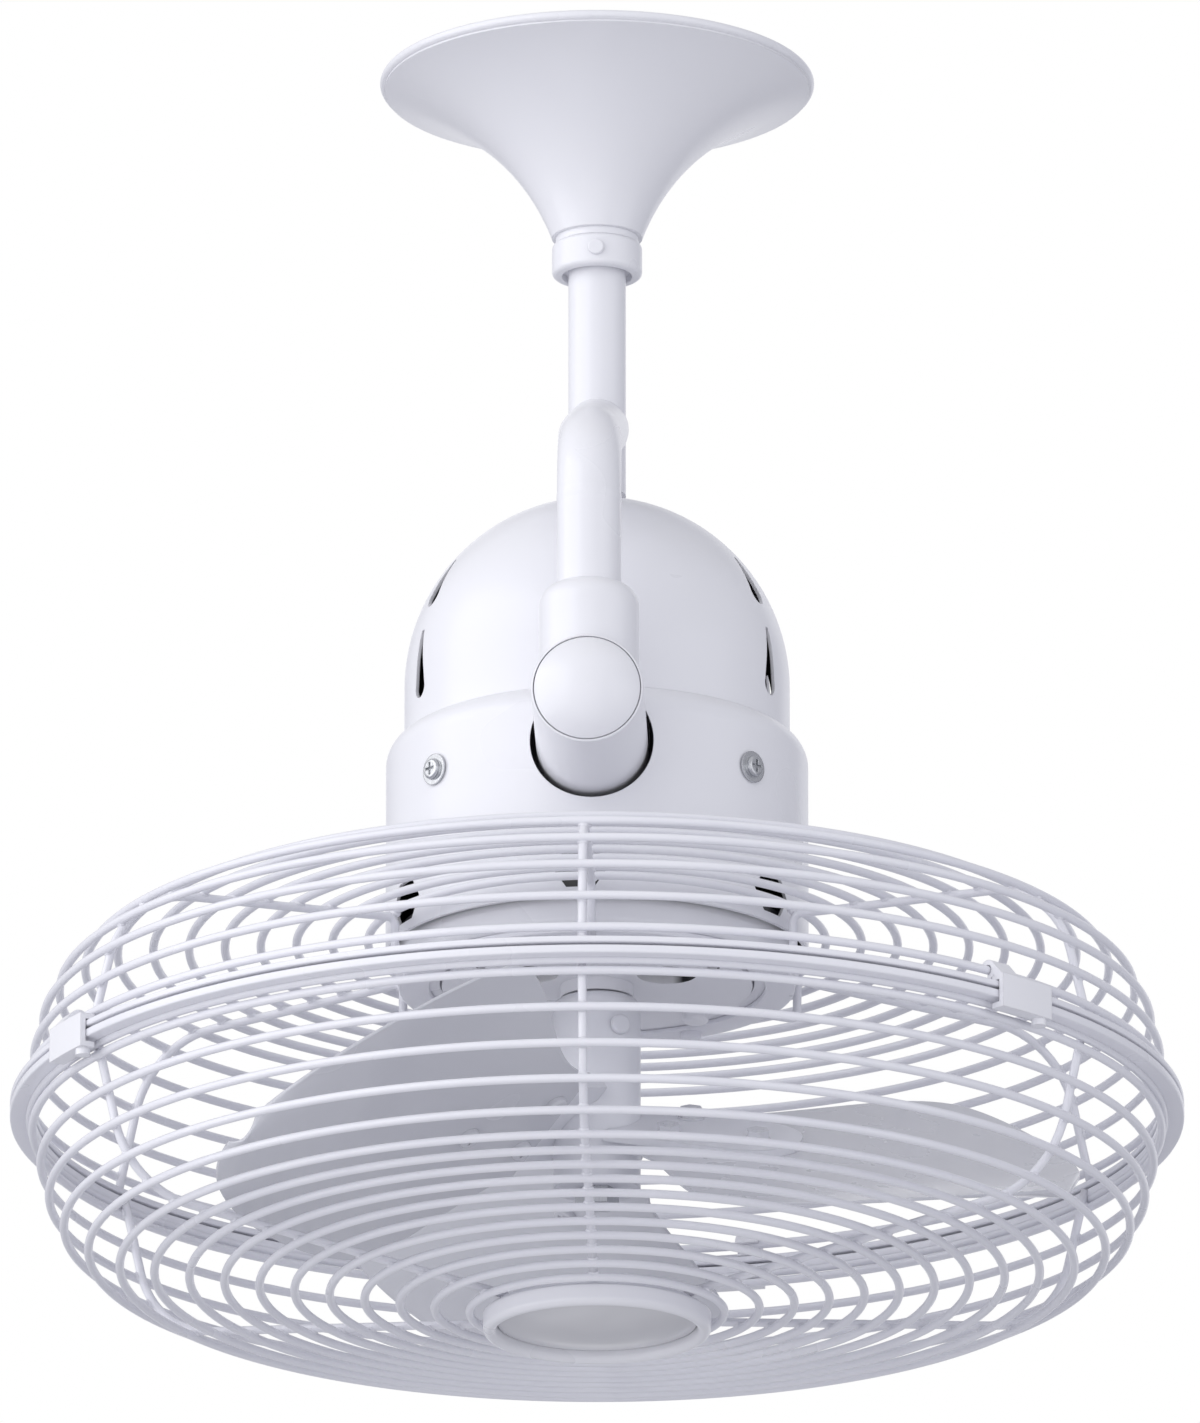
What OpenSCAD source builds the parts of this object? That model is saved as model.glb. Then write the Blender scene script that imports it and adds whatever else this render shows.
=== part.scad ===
// Ceiling-hung oscillating fan: a trumpet canopy, a downrod and a bent arm carry
// a caged fan head that swings 45 degrees to each side about a horizontal barrel.
// Origin: centre of the fixing plate's top face, on the ceiling. +Z up, front is -Y.

/* [Ceiling fixing] */
// Diameter of the fixing plate under the ceiling
plate_d = 104; // [94:1:112]
// Thickness of the fixing plate
plate_t = 2.5; // [1.5:0.5:4]
// Distance between the two ceiling screw slots
screw_spacing = 70; // [60:1:78]
// Width of a ceiling screw slot
slot_w = 5; // [4:0.5:6]
// End-to-end length of a ceiling screw slot
slot_l = 12; // [8:1:14]
// Length of the socket that holds the downrod
socket_l = 30; // [26:1:34]
// Wall of the socket
socket_wall = 3.4; // [2.5:0.1:4]
// Diameter of the hanger pin
hanger_pin_d = 5; // [4:0.5:6]

/* [Canopy and collar] */
// Diameter of the canopy at the ceiling
canopy_d = 151.6; // [140:1:170]
// Height of the canopy
canopy_h = 61; // [56:1:66]
// Radius of the trumpet curve
flare_r = 87; // [84:1:92]
// Thickness of the canopy sheet
canopy_t = 1.2; // [0.8:0.1:1.6]
// Diameter of the canopy neck
neck_d = 29; // [27:0.5:30]
// Diameter of the collar under the canopy
collar_d = 31.4; // [30:0.2:36]
// Height of the collar
collar_h = 11.4; // [9:0.2:14]

/* [Rod and arm] */
// Outer diameter of the downrod
rod_d = 20; // [18:0.5:21]
// Wall of the downrod
rod_wall = 1.6; // [1.2:0.1:2.4]
// Outer diameter of the bent arm
arm_d = 22; // [20:0.5:23]
// Wall of the bent arm
arm_wall = 2; // [1.5:0.1:2.5]
// How far the arm stands in front of the rod
arm_reach = 105; // [100:1:110]
// Slope of the arm's upper stretch below horizontal
arm_slope = 20; // [15:1:24]
// Centreline radius of the arm's bend
arm_bend_r = 30; // [26:1:34]

/* [Knuckle] */
// Drop from the ceiling to the swing axis
pivot_drop = 263.5; // [258:0.5:290]
// Diameter of the vertical sleeve that takes the arm
sleeve_d = 34.2; // [32:0.2:36]
// Height of the sleeve top above the swing axis
sleeve_h = 44.5; // [42:0.5:48]
// Diameter of the horizontal barrel
barrel_d = 38.4; // [36:0.2:40]
// Length of the barrel from its front rim to its inner end
barrel_l = 72; // [70:1:84]
// Diameter of the domed cap
cap_d = 36.1; // [34:0.1:36.6]
// Height of the cap's dome
cap_dome_h = 8; // [5:0.5:10]
// Clearance of the housing hole round the barrel
barrel_gap = 2; // [1.5:0.1:3.5]
// Diameter of the pivot shaft
pivot_d = 14; // [12:0.5:15]

/* [Housing] */
// Outer radius of the rear dome
dome_r = 66.7; // [65:0.1:68]
// Height of the dome's centre above the swing axis
dome_rise = 40.6; // [39:0.2:42]
// Outer radius of the front band
band_r = 73; // [72.6:0.1:75]
// Sheet thickness of the dome and the band
sheet_t = 1.2; // [0.8:0.1:1.5]
// Radius of the band's rounded shoulder
shoulder_r = 10; // [7:0.5:11]
// Height of the band's top above the swing axis
band_top = 21.5; // [20:0.5:23]
// Depth of the band's bottom edge below the swing axis
band_bottom = 56.5; // [55:0.5:58]
// Width of a hexagonal opening in the band
hex_w = 19.5; // [16:0.5:21]
// Height of a hexagonal opening in the band
hex_h = 14.4; // [12:0.2:15]
// Width of a vent slot at its round end
vent_w = 7.5; // [5:0.5:8]
// Diameter of the washer head of a housing screw
screw_head_d = 11; // [9:0.5:12]
// Outer radius of the pan under the motor
pan_r = 69.5; // [68:0.1:70.5]
// Radius of the motor shield inside the pan
shield_r = 53.6; // [52:0.1:55]

/* [Motor] */
// Outer radius of the stator
stator_r = 54; // [52:0.5:55]
// Height of the stator stack
stator_h = 20; // [18:0.5:21]
// Radius of the rotor
rotor_r = 24.6; // [23:0.1:26]
// Air gap between rotor and stator
air_gap = 0.4; // [0.3:0.05:0.6]
// Diameter of the motor shaft
shaft_d = 8; // [7:0.5:9]
// Outer diameter of a ball bearing
bearing_d = 22; // [19:0.5:22]
// Width of a ball bearing
bearing_w = 7; // [6:0.5:7]
// Distance of the motor bolts from the axis
bolt_circle_r = 47; // [46:0.5:48]
// Diameter of the motor bolts
bolt_d = 5; // [4:0.5:5]

/* [Swing drive] */
// Distance from the swing axis to the crank axis
crank_offset = 20; // [19:0.5:21]
// Angle that the head swings to each side
swing_angle = 45; // [40:1:45]
// Diameter of the crank pin
crank_pin_d = 4; // [3:0.5:4.5]
// Radius of the swing gear motor
gearmotor_r = 21; // [19:0.5:22]
// Depth of the swing gear motor
gearmotor_l = 17; // [15:1:20]

/* [Guards] */
// Outer radius of the rim where the two guards meet
rim_r = 202; // [198:1:206]
// Distance from the swing axis down to the rim plane
rim_drop = 112.5; // [111:0.5:116]
// Diameter of the guard wires
wire_d = 3; // [2.6:0.1:3.4]
// Angle that the side wall leans inward
side_lean = 14; // [12:0.5:16]
// Length of the straight side wall
side_l = 30.5; // [29:0.5:32]
// Radius of the bend between side wall and crown
guard_bend_r = 36.5; // [34:0.5:38]
// Slope of the front crown
front_slope = 7.1; // [7.1:0.1:7.2]
// Slope of the rear crown
rear_slope = 3; // [2:0.5:4]
// Radius of the innermost front ring
front_inner_r = 43.7; // [43:0.1:46]
// Radius of the innermost rear ring
rear_inner_r = 79; // [78:0.5:82]
// Number of rings on the front guard
front_rings = 16; // [14:1:18]
// Number of rings on the rear guard
rear_rings = 13; // [11:1:14]
// Number of ribs on each guard
rib_count = 6; // [6:1:6]
// Length of a clip along the rim
clip_l = 24; // [20:1:28]
// Outer radius of the badge ring
badge_r = 39.2; // [38:0.1:41]

/* [Blades] */
// Radius that the blade tips sweep
blade_r = 168; // [160:1:170]
// Greatest width of the blade ahead of its middle line
lead_w = 84; // [60:1:86]
// Greatest width of the blade behind its middle line
trail_w = 68; // [56:1:70]
// Half of the chord at the root
root_half_w = 27; // [22:1:28]
// Pitch of the blade at its root
root_pitch = 30; // [27:1:32]
// Pitch of the blade at its tip
tip_pitch = 22; // [18:1:26]
// Angle that the blades droop below horizontal
blade_droop = 12; // [8:1:12]
// Thickness of the blade sheet
blade_t = 1.2; // [1:0.1:1.6]
// Azimuth of the first blade, from the front towards +X
blade_azimuth = 75; // [70:1:86]
// Radius of the blade hub
hub_r = 15; // [14:0.5:16]
// Length of the blade hub
hub_l = 68; // [64:1:72]

/* [Hidden] */
$fn = 64;
// Radial clearance of a running fit, and of a part seated in its bore
run_fit = 0.05;
seat_fit = 0.02;
// Gap kept between parts that pass each other
part_gap = 0.3;
// Height of the guard seam
seam = 0.9;
// How much a bead at a wire or tube joint stands out, in diameter
bead = 0.3;
paint = "#EFEFF4";
steel = "#B9BCC2";
dark = "#3A3C42";

// Heights, all measured up from the ceiling plane
pivot_z = -pivot_drop;
rim_z = pivot_z - rim_drop;
dome_z = pivot_z + dome_rise;
band_top_z = pivot_z + band_top;
band_bottom_z = pivot_z - band_bottom;
rod_top_z = -plate_t - 1;
// The rod ends just above the circle that the dome's top sweeps
dome_sweep = dome_rise + dome_r;
rod_end_gap = 3.3;
rod_end_z = pivot_z + dome_sweep + rod_end_gap;
arm_root_z = rod_end_z + 24.5;
socket_d = rod_d + 2 * socket_wall;
hanger_pin_z = -plate_t - 14;
rod_screw_z = -plate_t - 23;
rod_screw_d = 5;
wire_hole_d = 9;

// Canopy curve: an arc whose centre lies outside and below the trumpet
lip_r = 1.6;
neck_h = 3;
neck_angle = 20;
flare_foot_r = neck_d / 2 + 1.4;
flare_cx = flare_foot_r + flare_r * cos(neck_angle);
flare_cz = -canopy_h + neck_h - flare_r * sin(neck_angle);
neck_bore_r = rod_d / 2 + 2;
collar_top_z = -canopy_h;
collar_land = 4;
collar_round = 1.6;
collar_screw_z = collar_top_z - collar_h / 2;
collar_screw_d = 3;

// Arm: the upper stretch meets the vertical one in one bend
arm_bend_y = -(arm_reach - arm_bend_r);
arm_run_l = (arm_reach - arm_bend_r + arm_bend_r * sin(arm_slope)) / cos(arm_slope);
arm_bend_z = arm_root_z - arm_run_l * sin(arm_slope) - arm_bend_r * cos(arm_slope);
sleeve_top_z = pivot_z + sleeve_h;
arm_seat_z = sleeve_top_z - 20;
sleeve_round = 8;
sleeve_screw_d = 5;
sleeve_screw_zs = [sleeve_top_z - 10.5, sleeve_top_z - 16.5];

// Knuckle and pivot shaft, along Y
barrel_r = barrel_d / 2;
barrel_end_y = -58;
barrel_front_y = barrel_end_y - barrel_l;
barrel_wall_y = barrel_end_y - 16;
barrel_bore_r = 15;
cap_seat_t = 2;
cap_gap = 0.35;
pivot_r = pivot_d / 2;
flange_t = 3.5;
flange_r = pivot_r + 4;
flange_y = barrel_end_y + flange_t;
nut_af = 22;
nut_l = 9;
hex_ratio = 2 / sqrt(3);
bush_flange_t = 1.5;
bush_wall = 2;
bush_l = 9;
block_y0 = flange_y + part_gap + bush_flange_t;
block_l = 25.4;
block_y1 = block_y0 + block_l;
lever_y0 = block_y1 + bush_flange_t + part_gap;
lever_boss_l = 9;
lever_plate_y = lever_y0 + lever_boss_l;
lever_t = 2.7;
lever_boss_r = 11;
shaft_end_y = lever_plate_y - 1.5;
lever_pin_d = 3;

// Swing drive: the crank pin moves the head along a slotted lever that stays still
crank_z = pivot_z + crank_offset;
crank_r = crank_offset * sin(swing_angle);
crank_pin_reach = crank_offset + crank_r;
slot_play = 2.8;
lever_slot_w = crank_pin_d + 2 * slot_play;
lever_rail = 4.2;
lever_w = lever_slot_w + 2 * lever_rail;
crank_t = 3;
crank_y0 = lever_plate_y + lever_t + 2;
crank_y1 = crank_y0 + crank_t;
crank_disc_r = crank_r + crank_pin_d / 2 + 2.4;
gear_plate_y0 = crank_y1 + 1.5;
gear_plate_t = 2;
gear_shaft_r = 3;
gear_boss_r = 6;
gear_ear_x = gearmotor_r + 6;
gear_ear_r = 5;
gear_plate_w = 2 * (gear_ear_x + gear_ear_r);

// Motor
bracket_t = 3;
bracket_top_z = pivot_z - 12.5;
bracket_z = bracket_top_z - bracket_t;
bracket_r = 56;
coil_head = 5;
stator_top_z = bracket_z - coil_head - 2;
stator_z = stator_top_z - stator_h;
lower_coil_head = 7;
shield_floor = 3.5;
shield_flange_t = 2.5;
pan_bottom_z = band_bottom_z - 9.5;
pan_floor = 2.5;
pan_wall = 2;
pan_round = 3.2;
shield_flange_r = pan_r - pan_wall - 2;
pan_top_z = band_bottom_z + 7;
shield_flange_z = pan_bottom_z + pan_floor;
shield_z = shield_flange_z - shield_floor;
boss_wall = 2;
boss_r = bearing_d / 2 + boss_wall - 0.35;
boss_bottom_z = shield_z - 4.5;
front_bearing_z = boss_bottom_z + 1;
rear_bearing_z = bracket_z + 1;
rear_boss_r = bearing_d / 2 + boss_wall;
rear_boss_top_z = rear_bearing_z + bearing_w + 2.5;
shaft_top_z = rear_bearing_z + bearing_w - 1;
stud_r = 4.5;
bolt_head_d = 9;
bolt_head_h = 3.5;
motor_nut_h = 4;
tab_w = 15;
tab_t = 3;
tab_r = band_r - sheet_t - 0.4;
dome_flange_z = bracket_top_z + 21;
screw_azimuths = [48, 132, 228, 312];
housing_screw_z = pivot_z - 3.5;
housing_screw_d = 4;
hex_z = band_bottom_z + 3.3 + hex_h / 2;
hex_azimuths = [for (i = [0:5]) 60 * i - 3];
vent_azimuths = [65, 115, 245, 295];

// Hub and blades
hub_top_z = boss_bottom_z - 0.6;
hub_z = hub_top_z - hub_l;
hub_round = 3;
hub_nut_h = 6;
hub_nut_af = 13;
shaft_end_z = hub_z - hub_nut_h + 1;
hub_screw_z = hub_top_z - 12.5;
hub_screw_azimuth = 32;
hub_screw_d = 4;
arm_plate_l = 74;
arm_plate_t = 3;
arm_plate_z = hub_z + 23.6;
arm_plate_w = 38;
blade_tip = blade_r / cos(blade_droop) - 1;
blade_root = 22;
flat_root_end = 78;
blade_screw_d = 4;
blade_screws_uv = [[30, -11], [30, 12], [60, -4]];
lead_peak = 0.55;
trail_peak = 0.3;
root_steps = 10;
blade_steps = 18;
chord_steps = 12;
blade_camber = 3.5;
blade_angles = [for (i = [0:2]) blade_azimuth + 120 * i];

// Guards: the path runs up the side wall, round the bend and in along the crown
rim_w = 8.5;
rear_rim_h = 2.2;
front_rim_h = 2.9;
weld = 0.6;
rib_offset = wire_d - weld;
rear_path_r = rim_r - 3.5;
front_path_r = rim_r - 6;
first_ring = 7.5;
bend_turn_front = 90 - side_lean - front_slope;
bend_turn_rear = 90 - side_lean - rear_slope;
front_crown_l = (crown_start_r(front_path_r, front_slope) - front_inner_r) / cos(front_slope);
rear_crown_l = (crown_start_r(rear_path_r, rear_slope) - rear_inner_r) / cos(rear_slope);
front_path_l = side_l + arc_l(bend_turn_front) + front_crown_l;
rear_path_l = side_l + arc_l(bend_turn_rear) + rear_crown_l;
front_pitch = (front_path_l - first_ring) / (front_rings - 1);
rear_pitch = (rear_path_l - first_ring) / (rear_rings - 1);
mount_ring_t = 2;
mount_ring_in = shield_r + 4.4;
mount_ring_out = pan_r - pan_round + 2;
mount_ring_top = pan_bottom_z - rim_z;
guard_screw_r = mount_ring_in + 4;
guard_screw_d = 4;
guard_screw_azimuths = [30, 150, 210, 330];

// Badge: a ring and a domed disc on a plate at the middle of the front guard
badge_plate_t = 1.6;
badge_plate_r = badge_r - 1.5;
badge_plate_z = crown_z(front_path_r, front_slope, front_crown_l) + rib_offset - wire_d;
badge_ring_w = 4.7;
badge_ring_h = 7;
badge_disc_r = badge_r - badge_ring_w - part_gap;
badge_disc_t = 3;
badge_bulge = 5;
badge_screw_x = 20;
badge_screw_d = 3;

// Clips
clip_azimuths = [47, -61, 168];
clip_wall = 2;
clip_in_r = rim_r + part_gap;
clip_out_r = clip_in_r + clip_wall;
clip_top = seam / 2 + rear_rim_h + part_gap;
clip_bottom = -(seam / 2 + front_rim_h + 1.5);
clip_lip_r = rim_r - 3.2;
hook_w = 8;
hook_wire_r = ring_r(rear_path_r, rear_slope, first_ring);
hook_wire_z = ring_z(rear_path_r, rear_slope, first_ring);
hook_in_r = wire_d / 2 + part_gap;
hook_out_r = hook_in_r + 1.8;
peg_d = 5;

// Length of the guard's bend for a turn in degrees
function arc_l(turn) = guard_bend_r * turn * PI / 180;
// Centre of the guard's bend
function bend_r(r0) = r0 - side_l * sin(side_lean) - guard_bend_r * cos(side_lean);
function bend_z() = side_l * cos(side_lean) - guard_bend_r * sin(side_lean);
// Start of the crown
function crown_start_r(r0, slope) = bend_r(r0) + guard_bend_r * sin(slope);
function crown_start_z(slope) = bend_z() + guard_bend_r * cos(slope);
function crown_z(r0, slope, l) = crown_start_z(slope) + l * sin(slope);
// Angle round the bend at a distance along the path
function bend_at(s) = side_lean + (s - side_l) / guard_bend_r * 180 / PI;
// Radius and height of the ring at a distance s along the path
function ring_r(r0, slope, s) =
    s < side_l ? r0 - s * sin(side_lean)
    : s < side_l + arc_l(90 - side_lean - slope) ? bend_r(r0) + guard_bend_r * cos(bend_at(s))
    : crown_start_r(r0, slope) - (s - side_l - arc_l(90 - side_lean - slope)) * cos(slope);
function ring_z(r0, slope, s) =
    s < side_l ? s * cos(side_lean)
    : s < side_l + arc_l(90 - side_lean - slope) ? bend_z() + guard_bend_r * sin(bend_at(s))
    : crown_start_z(slope) + (s - side_l - arc_l(90 - side_lean - slope)) * sin(slope);

// Smooth step from 0 to 1
function ease(t) = t <= 0 ? 0 : t >= 1 ? 1 : t * t * (3 - 2 * t);
// Share of the blade's length at a radial distance u
function blade_share(u) = (u - blade_root) / (blade_tip - blade_root);
// Width ahead of and behind the blade's middle line at a radial distance u
function lead_at(u) =
    blade_share(u) < lead_peak
    ? root_half_w + (lead_w - root_half_w) * ease(blade_share(u) / lead_peak)
    : lead_w * sqrt(1 - pow((blade_share(u) - lead_peak) / (1.004 - lead_peak), 1.5));
function trail_at(u) =
    blade_share(u) < trail_peak
    ? root_half_w + (trail_w - root_half_w) * ease(blade_share(u) / trail_peak)
    : trail_w * sqrt(1 - pow((blade_share(u) - trail_peak) / (1.004 - trail_peak), 1.6));
// Share of the twisted stretch at a radial distance u
function twist_share(u) = (u - flat_root_end) / (blade_tip - flat_root_end);
// Height of the blade sheet over its root plane
function sheet_w(u, v) =
    -v * tan((root_pitch - tip_pitch) * ease(twist_share(u) * 0.8))
    - blade_camber * ease(twist_share(u) * 1.8) * (1 - pow(v / (v < 0 ? trail_at(u) : lead_at(u)), 2));

// Places children at an azimuth from the front; children are drawn along +X
module at_azimuth(a) {
    rotate([0, 0, a - 90]) children();
}

// Turns a child drawn up +Z so that it runs towards the back, +Y
module along_y(y) {
    translate([0, y, pivot_z]) rotate([-90, 0, 0]) children();
}

// Ring with a rectangular section between two radii and two heights
module flat_ring(r_in, r_out, z0, z1) {
    translate([0, 0, z0]) difference() {
        cylinder(r = r_out, h = z1 - z0);
        translate([0, 0, -1]) cylinder(r = r_in, h = z1 - z0 + 2);
    }
}

// Half section of a cylinder of radius r from z0 to z1 with its z0 edge rounded
module round_edge_section(r, z0, z1, round_r) {
    up = sign(z1 - z0);
    bottom = min(z0, z1);
    square_z = up > 0 ? z0 + round_r : z1;
    translate([0, bottom]) square([r - round_r, abs(z1 - z0)]);
    translate([0, square_z]) square([r, abs(z1 - z0) - round_r]);
    translate([r - round_r, z0 + up * round_r]) circle(r = round_r);
}

// Shallow dome of radius r and height h standing on z = 0
module dome_cap(r, h) {
    ball_r = (r * r + h * h) / (2 * h);
    rotate_extrude($fn = 96) intersection() {
        translate([0, h - ball_r]) circle(r = ball_r, $fn = 360);
        square([r, h]);
    }
}

// Hexagonal prism given across its flats
module hex_prism(af, h) {
    cylinder(r = af / 2 * hex_ratio, h = h, $fn = 6);
}

// Screw pointing down +Z from a flat round head below z = 0
module pan_screw(d, l, head_d, head_h) {
    translate([0, 0, -head_h]) rotate_extrude() {
        translate([0, head_h * 0.4]) square([head_d / 2, head_h * 0.6]);
        square([head_d / 2 - head_h * 0.4, head_h]);
        translate([head_d / 2 - head_h * 0.4, head_h * 0.4]) circle(r = head_h * 0.4);
    }
    cylinder(d = d, h = l);
}

// Fixing plate and socket that hang the fan from the ceiling
module ceiling_bracket() {
    color(steel) difference() {
        union() {
            translate([0, 0, -plate_t]) cylinder(d = plate_d, h = plate_t);
            translate([0, 0, -plate_t - socket_l]) cylinder(d = socket_d, h = socket_l);
        }
        translate([0, 0, -plate_t - socket_l - 1]) cylinder(d = rod_d + 2 * run_fit, h = socket_l + 1);
        translate([0, 0, -plate_t - 1]) cylinder(d = rod_d - 2 * rod_wall, h = plate_t + 2);
        for (side = [-1, 1]) {
            translate([side * screw_spacing / 2, 0, -plate_t - 1]) slot_cut();
        }
        translate([-socket_d, 0, hanger_pin_z]) rotate([0, 90, 0])
            cylinder(d = hanger_pin_d + 2 * run_fit, h = 2 * socket_d);
        translate([0, 0, rod_screw_z]) rotate([90, 0, 0])
            cylinder(d = rod_screw_d + 2 * seat_fit, h = socket_d);
    }
}

// Slotted hole through the fixing plate, long along X
module slot_cut() {
    straight = slot_l - slot_w;
    linear_extrude(plate_t + 2) {
        square([straight, slot_w], center = true);
        for (side = [-1, 1]) {
            translate([side * straight / 2, 0]) circle(d = slot_w);
        }
    }
}

// Pin that carries the downrod in the socket
module hanger_pin() {
    pin_l = socket_d + 5;
    color(steel) translate([-socket_d / 2, 0, hanger_pin_z]) rotate([0, 90, 0]) {
        cylinder(d = hanger_pin_d, h = pin_l);
        translate([0, 0, -2]) cylinder(d = hanger_pin_d + 4, h = 2);
    }
}

// Spring ring that keeps the hanger pin in place
module pin_ring() {
    color(steel) translate([socket_d / 2 + 1, 0, hanger_pin_z]) rotate([0, 90, 0])
        flat_ring(hanger_pin_d / 2 + seat_fit, hanger_pin_d / 2 + 2.5, 0, 1.2);
}

// Set screw that stops the rod rattling in its socket
module rod_set_screw() {
    color(dark) translate([0, -rod_d / 2, rod_screw_z]) rotate([90, 0, 0])
        cylinder(d = rod_screw_d, h = socket_wall + 1);
}

// Straight tube from the ceiling socket to the arm
module downrod() {
    color(paint) difference() {
        translate([0, 0, rod_end_z]) cylinder(d = rod_d, h = rod_top_z - rod_end_z);
        translate([0, 0, rod_end_z + 2]) cylinder(d = rod_d - 2 * rod_wall, h = rod_top_z - rod_end_z);
        translate([-rod_d, 0, hanger_pin_z]) rotate([0, 90, 0])
            cylinder(d = hanger_pin_d + 2 * run_fit, h = 2 * rod_d);
        translate([0, 0, arm_root_z]) rotate([90 + arm_slope, 0, 0])
            cylinder(d = wire_hole_d, h = rod_d);
    }
}

// Solid of the arm's path with a given diameter
module arm_path(d) {
    translate([0, 0, arm_root_z]) rotate([90 + arm_slope, 0, 0]) cylinder(d = d, h = arm_run_l);
    translate([0, arm_bend_y, arm_bend_z]) rotate([90, 0, 90]) rotate([0, 0, 90 + arm_slope]) {
        rotate_extrude(angle = 90 - arm_slope) translate([arm_bend_r, 0]) circle(d = d);
        translate([arm_bend_r, 0]) sphere(d = d + bead);
    }
    translate([0, -arm_reach, arm_bend_z]) sphere(d = d + bead);
    translate([0, -arm_reach, arm_seat_z]) cylinder(d = d, h = arm_bend_z - arm_seat_z);
}

// Bent tube welded to the front of the downrod
module offset_arm() {
    color(paint) difference() {
        arm_path(arm_d);
        arm_path(arm_d - 2 * arm_wall);
        translate([0, 0, rod_end_z - 5]) cylinder(d = rod_d, h = 80);
        translate([-arm_d, 0, arm_root_z - 40]) cube([2 * arm_d, 2 * arm_d, 80]);
    }
}

// Casting with a sleeve for the arm and a barrel for the pivot shaft
module knuckle() {
    color(paint) difference() {
        union() {
            translate([0, -arm_reach, 0]) rotate_extrude()
                round_edge_section(sleeve_d / 2, sleeve_top_z, pivot_z, sleeve_round);
            along_y(barrel_front_y) rotate_extrude()
                round_edge_section(barrel_r, 0, barrel_l, 1);
        }
        translate([0, -arm_reach, arm_seat_z]) cylinder(d = arm_d + 2 * run_fit, h = sleeve_h);
        translate([0, -arm_reach, pivot_z]) cylinder(d = arm_d - 2 * arm_wall, h = sleeve_h);
        along_y(barrel_front_y - 1) cylinder(r = cap_d / 2 + cap_gap, h = cap_seat_t + 1);
        along_y(barrel_front_y) cylinder(r = barrel_bore_r, h = barrel_wall_y - barrel_front_y);
        along_y(barrel_wall_y - 1) cylinder(r = pivot_r + seat_fit, h = 20);
        for (z = sleeve_screw_zs) {
            translate([0, -arm_reach, z]) rotate([-90, 0, 0])
                cylinder(d = sleeve_screw_d + 2 * seat_fit, h = sleeve_d);
        }
    }
}

// Two set screws that clamp the arm in the sleeve, on the side facing the housing
module sleeve_screws() {
    color(dark) for (z = sleeve_screw_zs) {
        translate([0, -arm_reach + arm_d / 2, z]) rotate([-90, 0, 0])
            cylinder(d = sleeve_screw_d, h = (sleeve_d - arm_d) / 2 - 0.3);
    }
}

// Domed cap on the front end of the barrel
module knuckle_cap() {
    color(paint) along_y(barrel_front_y) {
        cylinder(d = cap_d, h = cap_seat_t);
        mirror([0, 0, 1]) dome_cap(cap_d / 2, cap_dome_h);
        translate([0, 0, cap_seat_t]) flat_ring(barrel_bore_r - 3, barrel_bore_r - seat_fit, 0, 6);
    }
}

// Hollow shaft fixed in the barrel, on which the head swings
module pivot_shaft() {
    color(steel) difference() {
        union() {
            along_y(barrel_wall_y - nut_l - 4)
                cylinder(r = pivot_r, h = shaft_end_y - barrel_wall_y + nut_l + 4);
            along_y(barrel_end_y) cylinder(r = flange_r, h = flange_t);
        }
        along_y(barrel_wall_y - nut_l - 5) cylinder(d = wire_hole_d - 1, h = 50);
        translate([0, lever_pin_y(), pivot_z - pivot_r - 1])
            cylinder(d = lever_pin_d + 2 * seat_fit, h = pivot_d + 2);
    }
}

// Place of the lever's cross pin along the shaft
function lever_pin_y() = lever_y0 + lever_boss_l * 0.45;

// Nut that pulls the shaft's flange against the barrel
module shaft_nut() {
    color(steel) along_y(barrel_wall_y - nut_l) difference() {
        hex_prism(nut_af, nut_l);
        translate([0, 0, -1]) cylinder(r = pivot_r + seat_fit, h = nut_l + 2);
    }
}

// Slotted lever pinned to the still shaft; the crank pin runs in its slot
module swing_lever() {
    slot_low = crank_offset - crank_r;
    color(steel) difference() {
        union() {
            along_y(lever_y0) cylinder(r = lever_boss_r, h = lever_boss_l);
            along_y(lever_plate_y) linear_extrude(lever_t) {
                circle(d = lever_w);
                translate([0, -crank_pin_reach]) circle(d = lever_w);
                translate([-lever_w / 2, -crank_pin_reach]) square([lever_w, crank_pin_reach]);
            }
        }
        along_y(lever_y0 - 1) cylinder(r = pivot_r + seat_fit, h = shaft_end_y - lever_y0 + 1);
        along_y(lever_plate_y - 1.2) linear_extrude(lever_t + 2) {
            translate([0, -slot_low]) circle(d = lever_slot_w);
            translate([0, -crank_pin_reach]) circle(d = lever_slot_w);
            translate([-lever_slot_w / 2, -crank_pin_reach]) square([lever_slot_w, 2 * crank_r]);
        }
        translate([0, lever_pin_y(), pivot_z - lever_boss_r - 1])
            cylinder(d = lever_pin_d + 2 * seat_fit, h = 2 * lever_boss_r + 2);
    }
}

// Cross pin through the lever's boss and the shaft
module lever_pin() {
    color(dark) translate([0, lever_pin_y(), pivot_z - lever_boss_r + 0.5])
        cylinder(d = lever_pin_d, h = 2 * lever_boss_r - 1);
}

// Trumpet that covers the ceiling fixing
module canopy() {
    lip_x = canopy_d / 2 - lip_r;
    color(paint) rotate_extrude() {
        intersection() {
            difference() {
                translate([flare_cx, flare_cz]) circle(r = flare_r + canopy_t);
                translate([flare_cx, flare_cz]) circle(r = flare_r);
            }
            translate([0, -canopy_h + neck_h - 0.4]) square([lip_x, canopy_h - neck_h]);
        }
        translate([lip_x, -lip_r]) circle(r = lip_r);
        difference() {
            translate([neck_bore_r, -canopy_h]) square([neck_d / 2 - neck_bore_r, neck_h + 3]);
            translate([flare_cx, flare_cz]) circle(r = flare_r);
        }
    }
}

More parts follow.
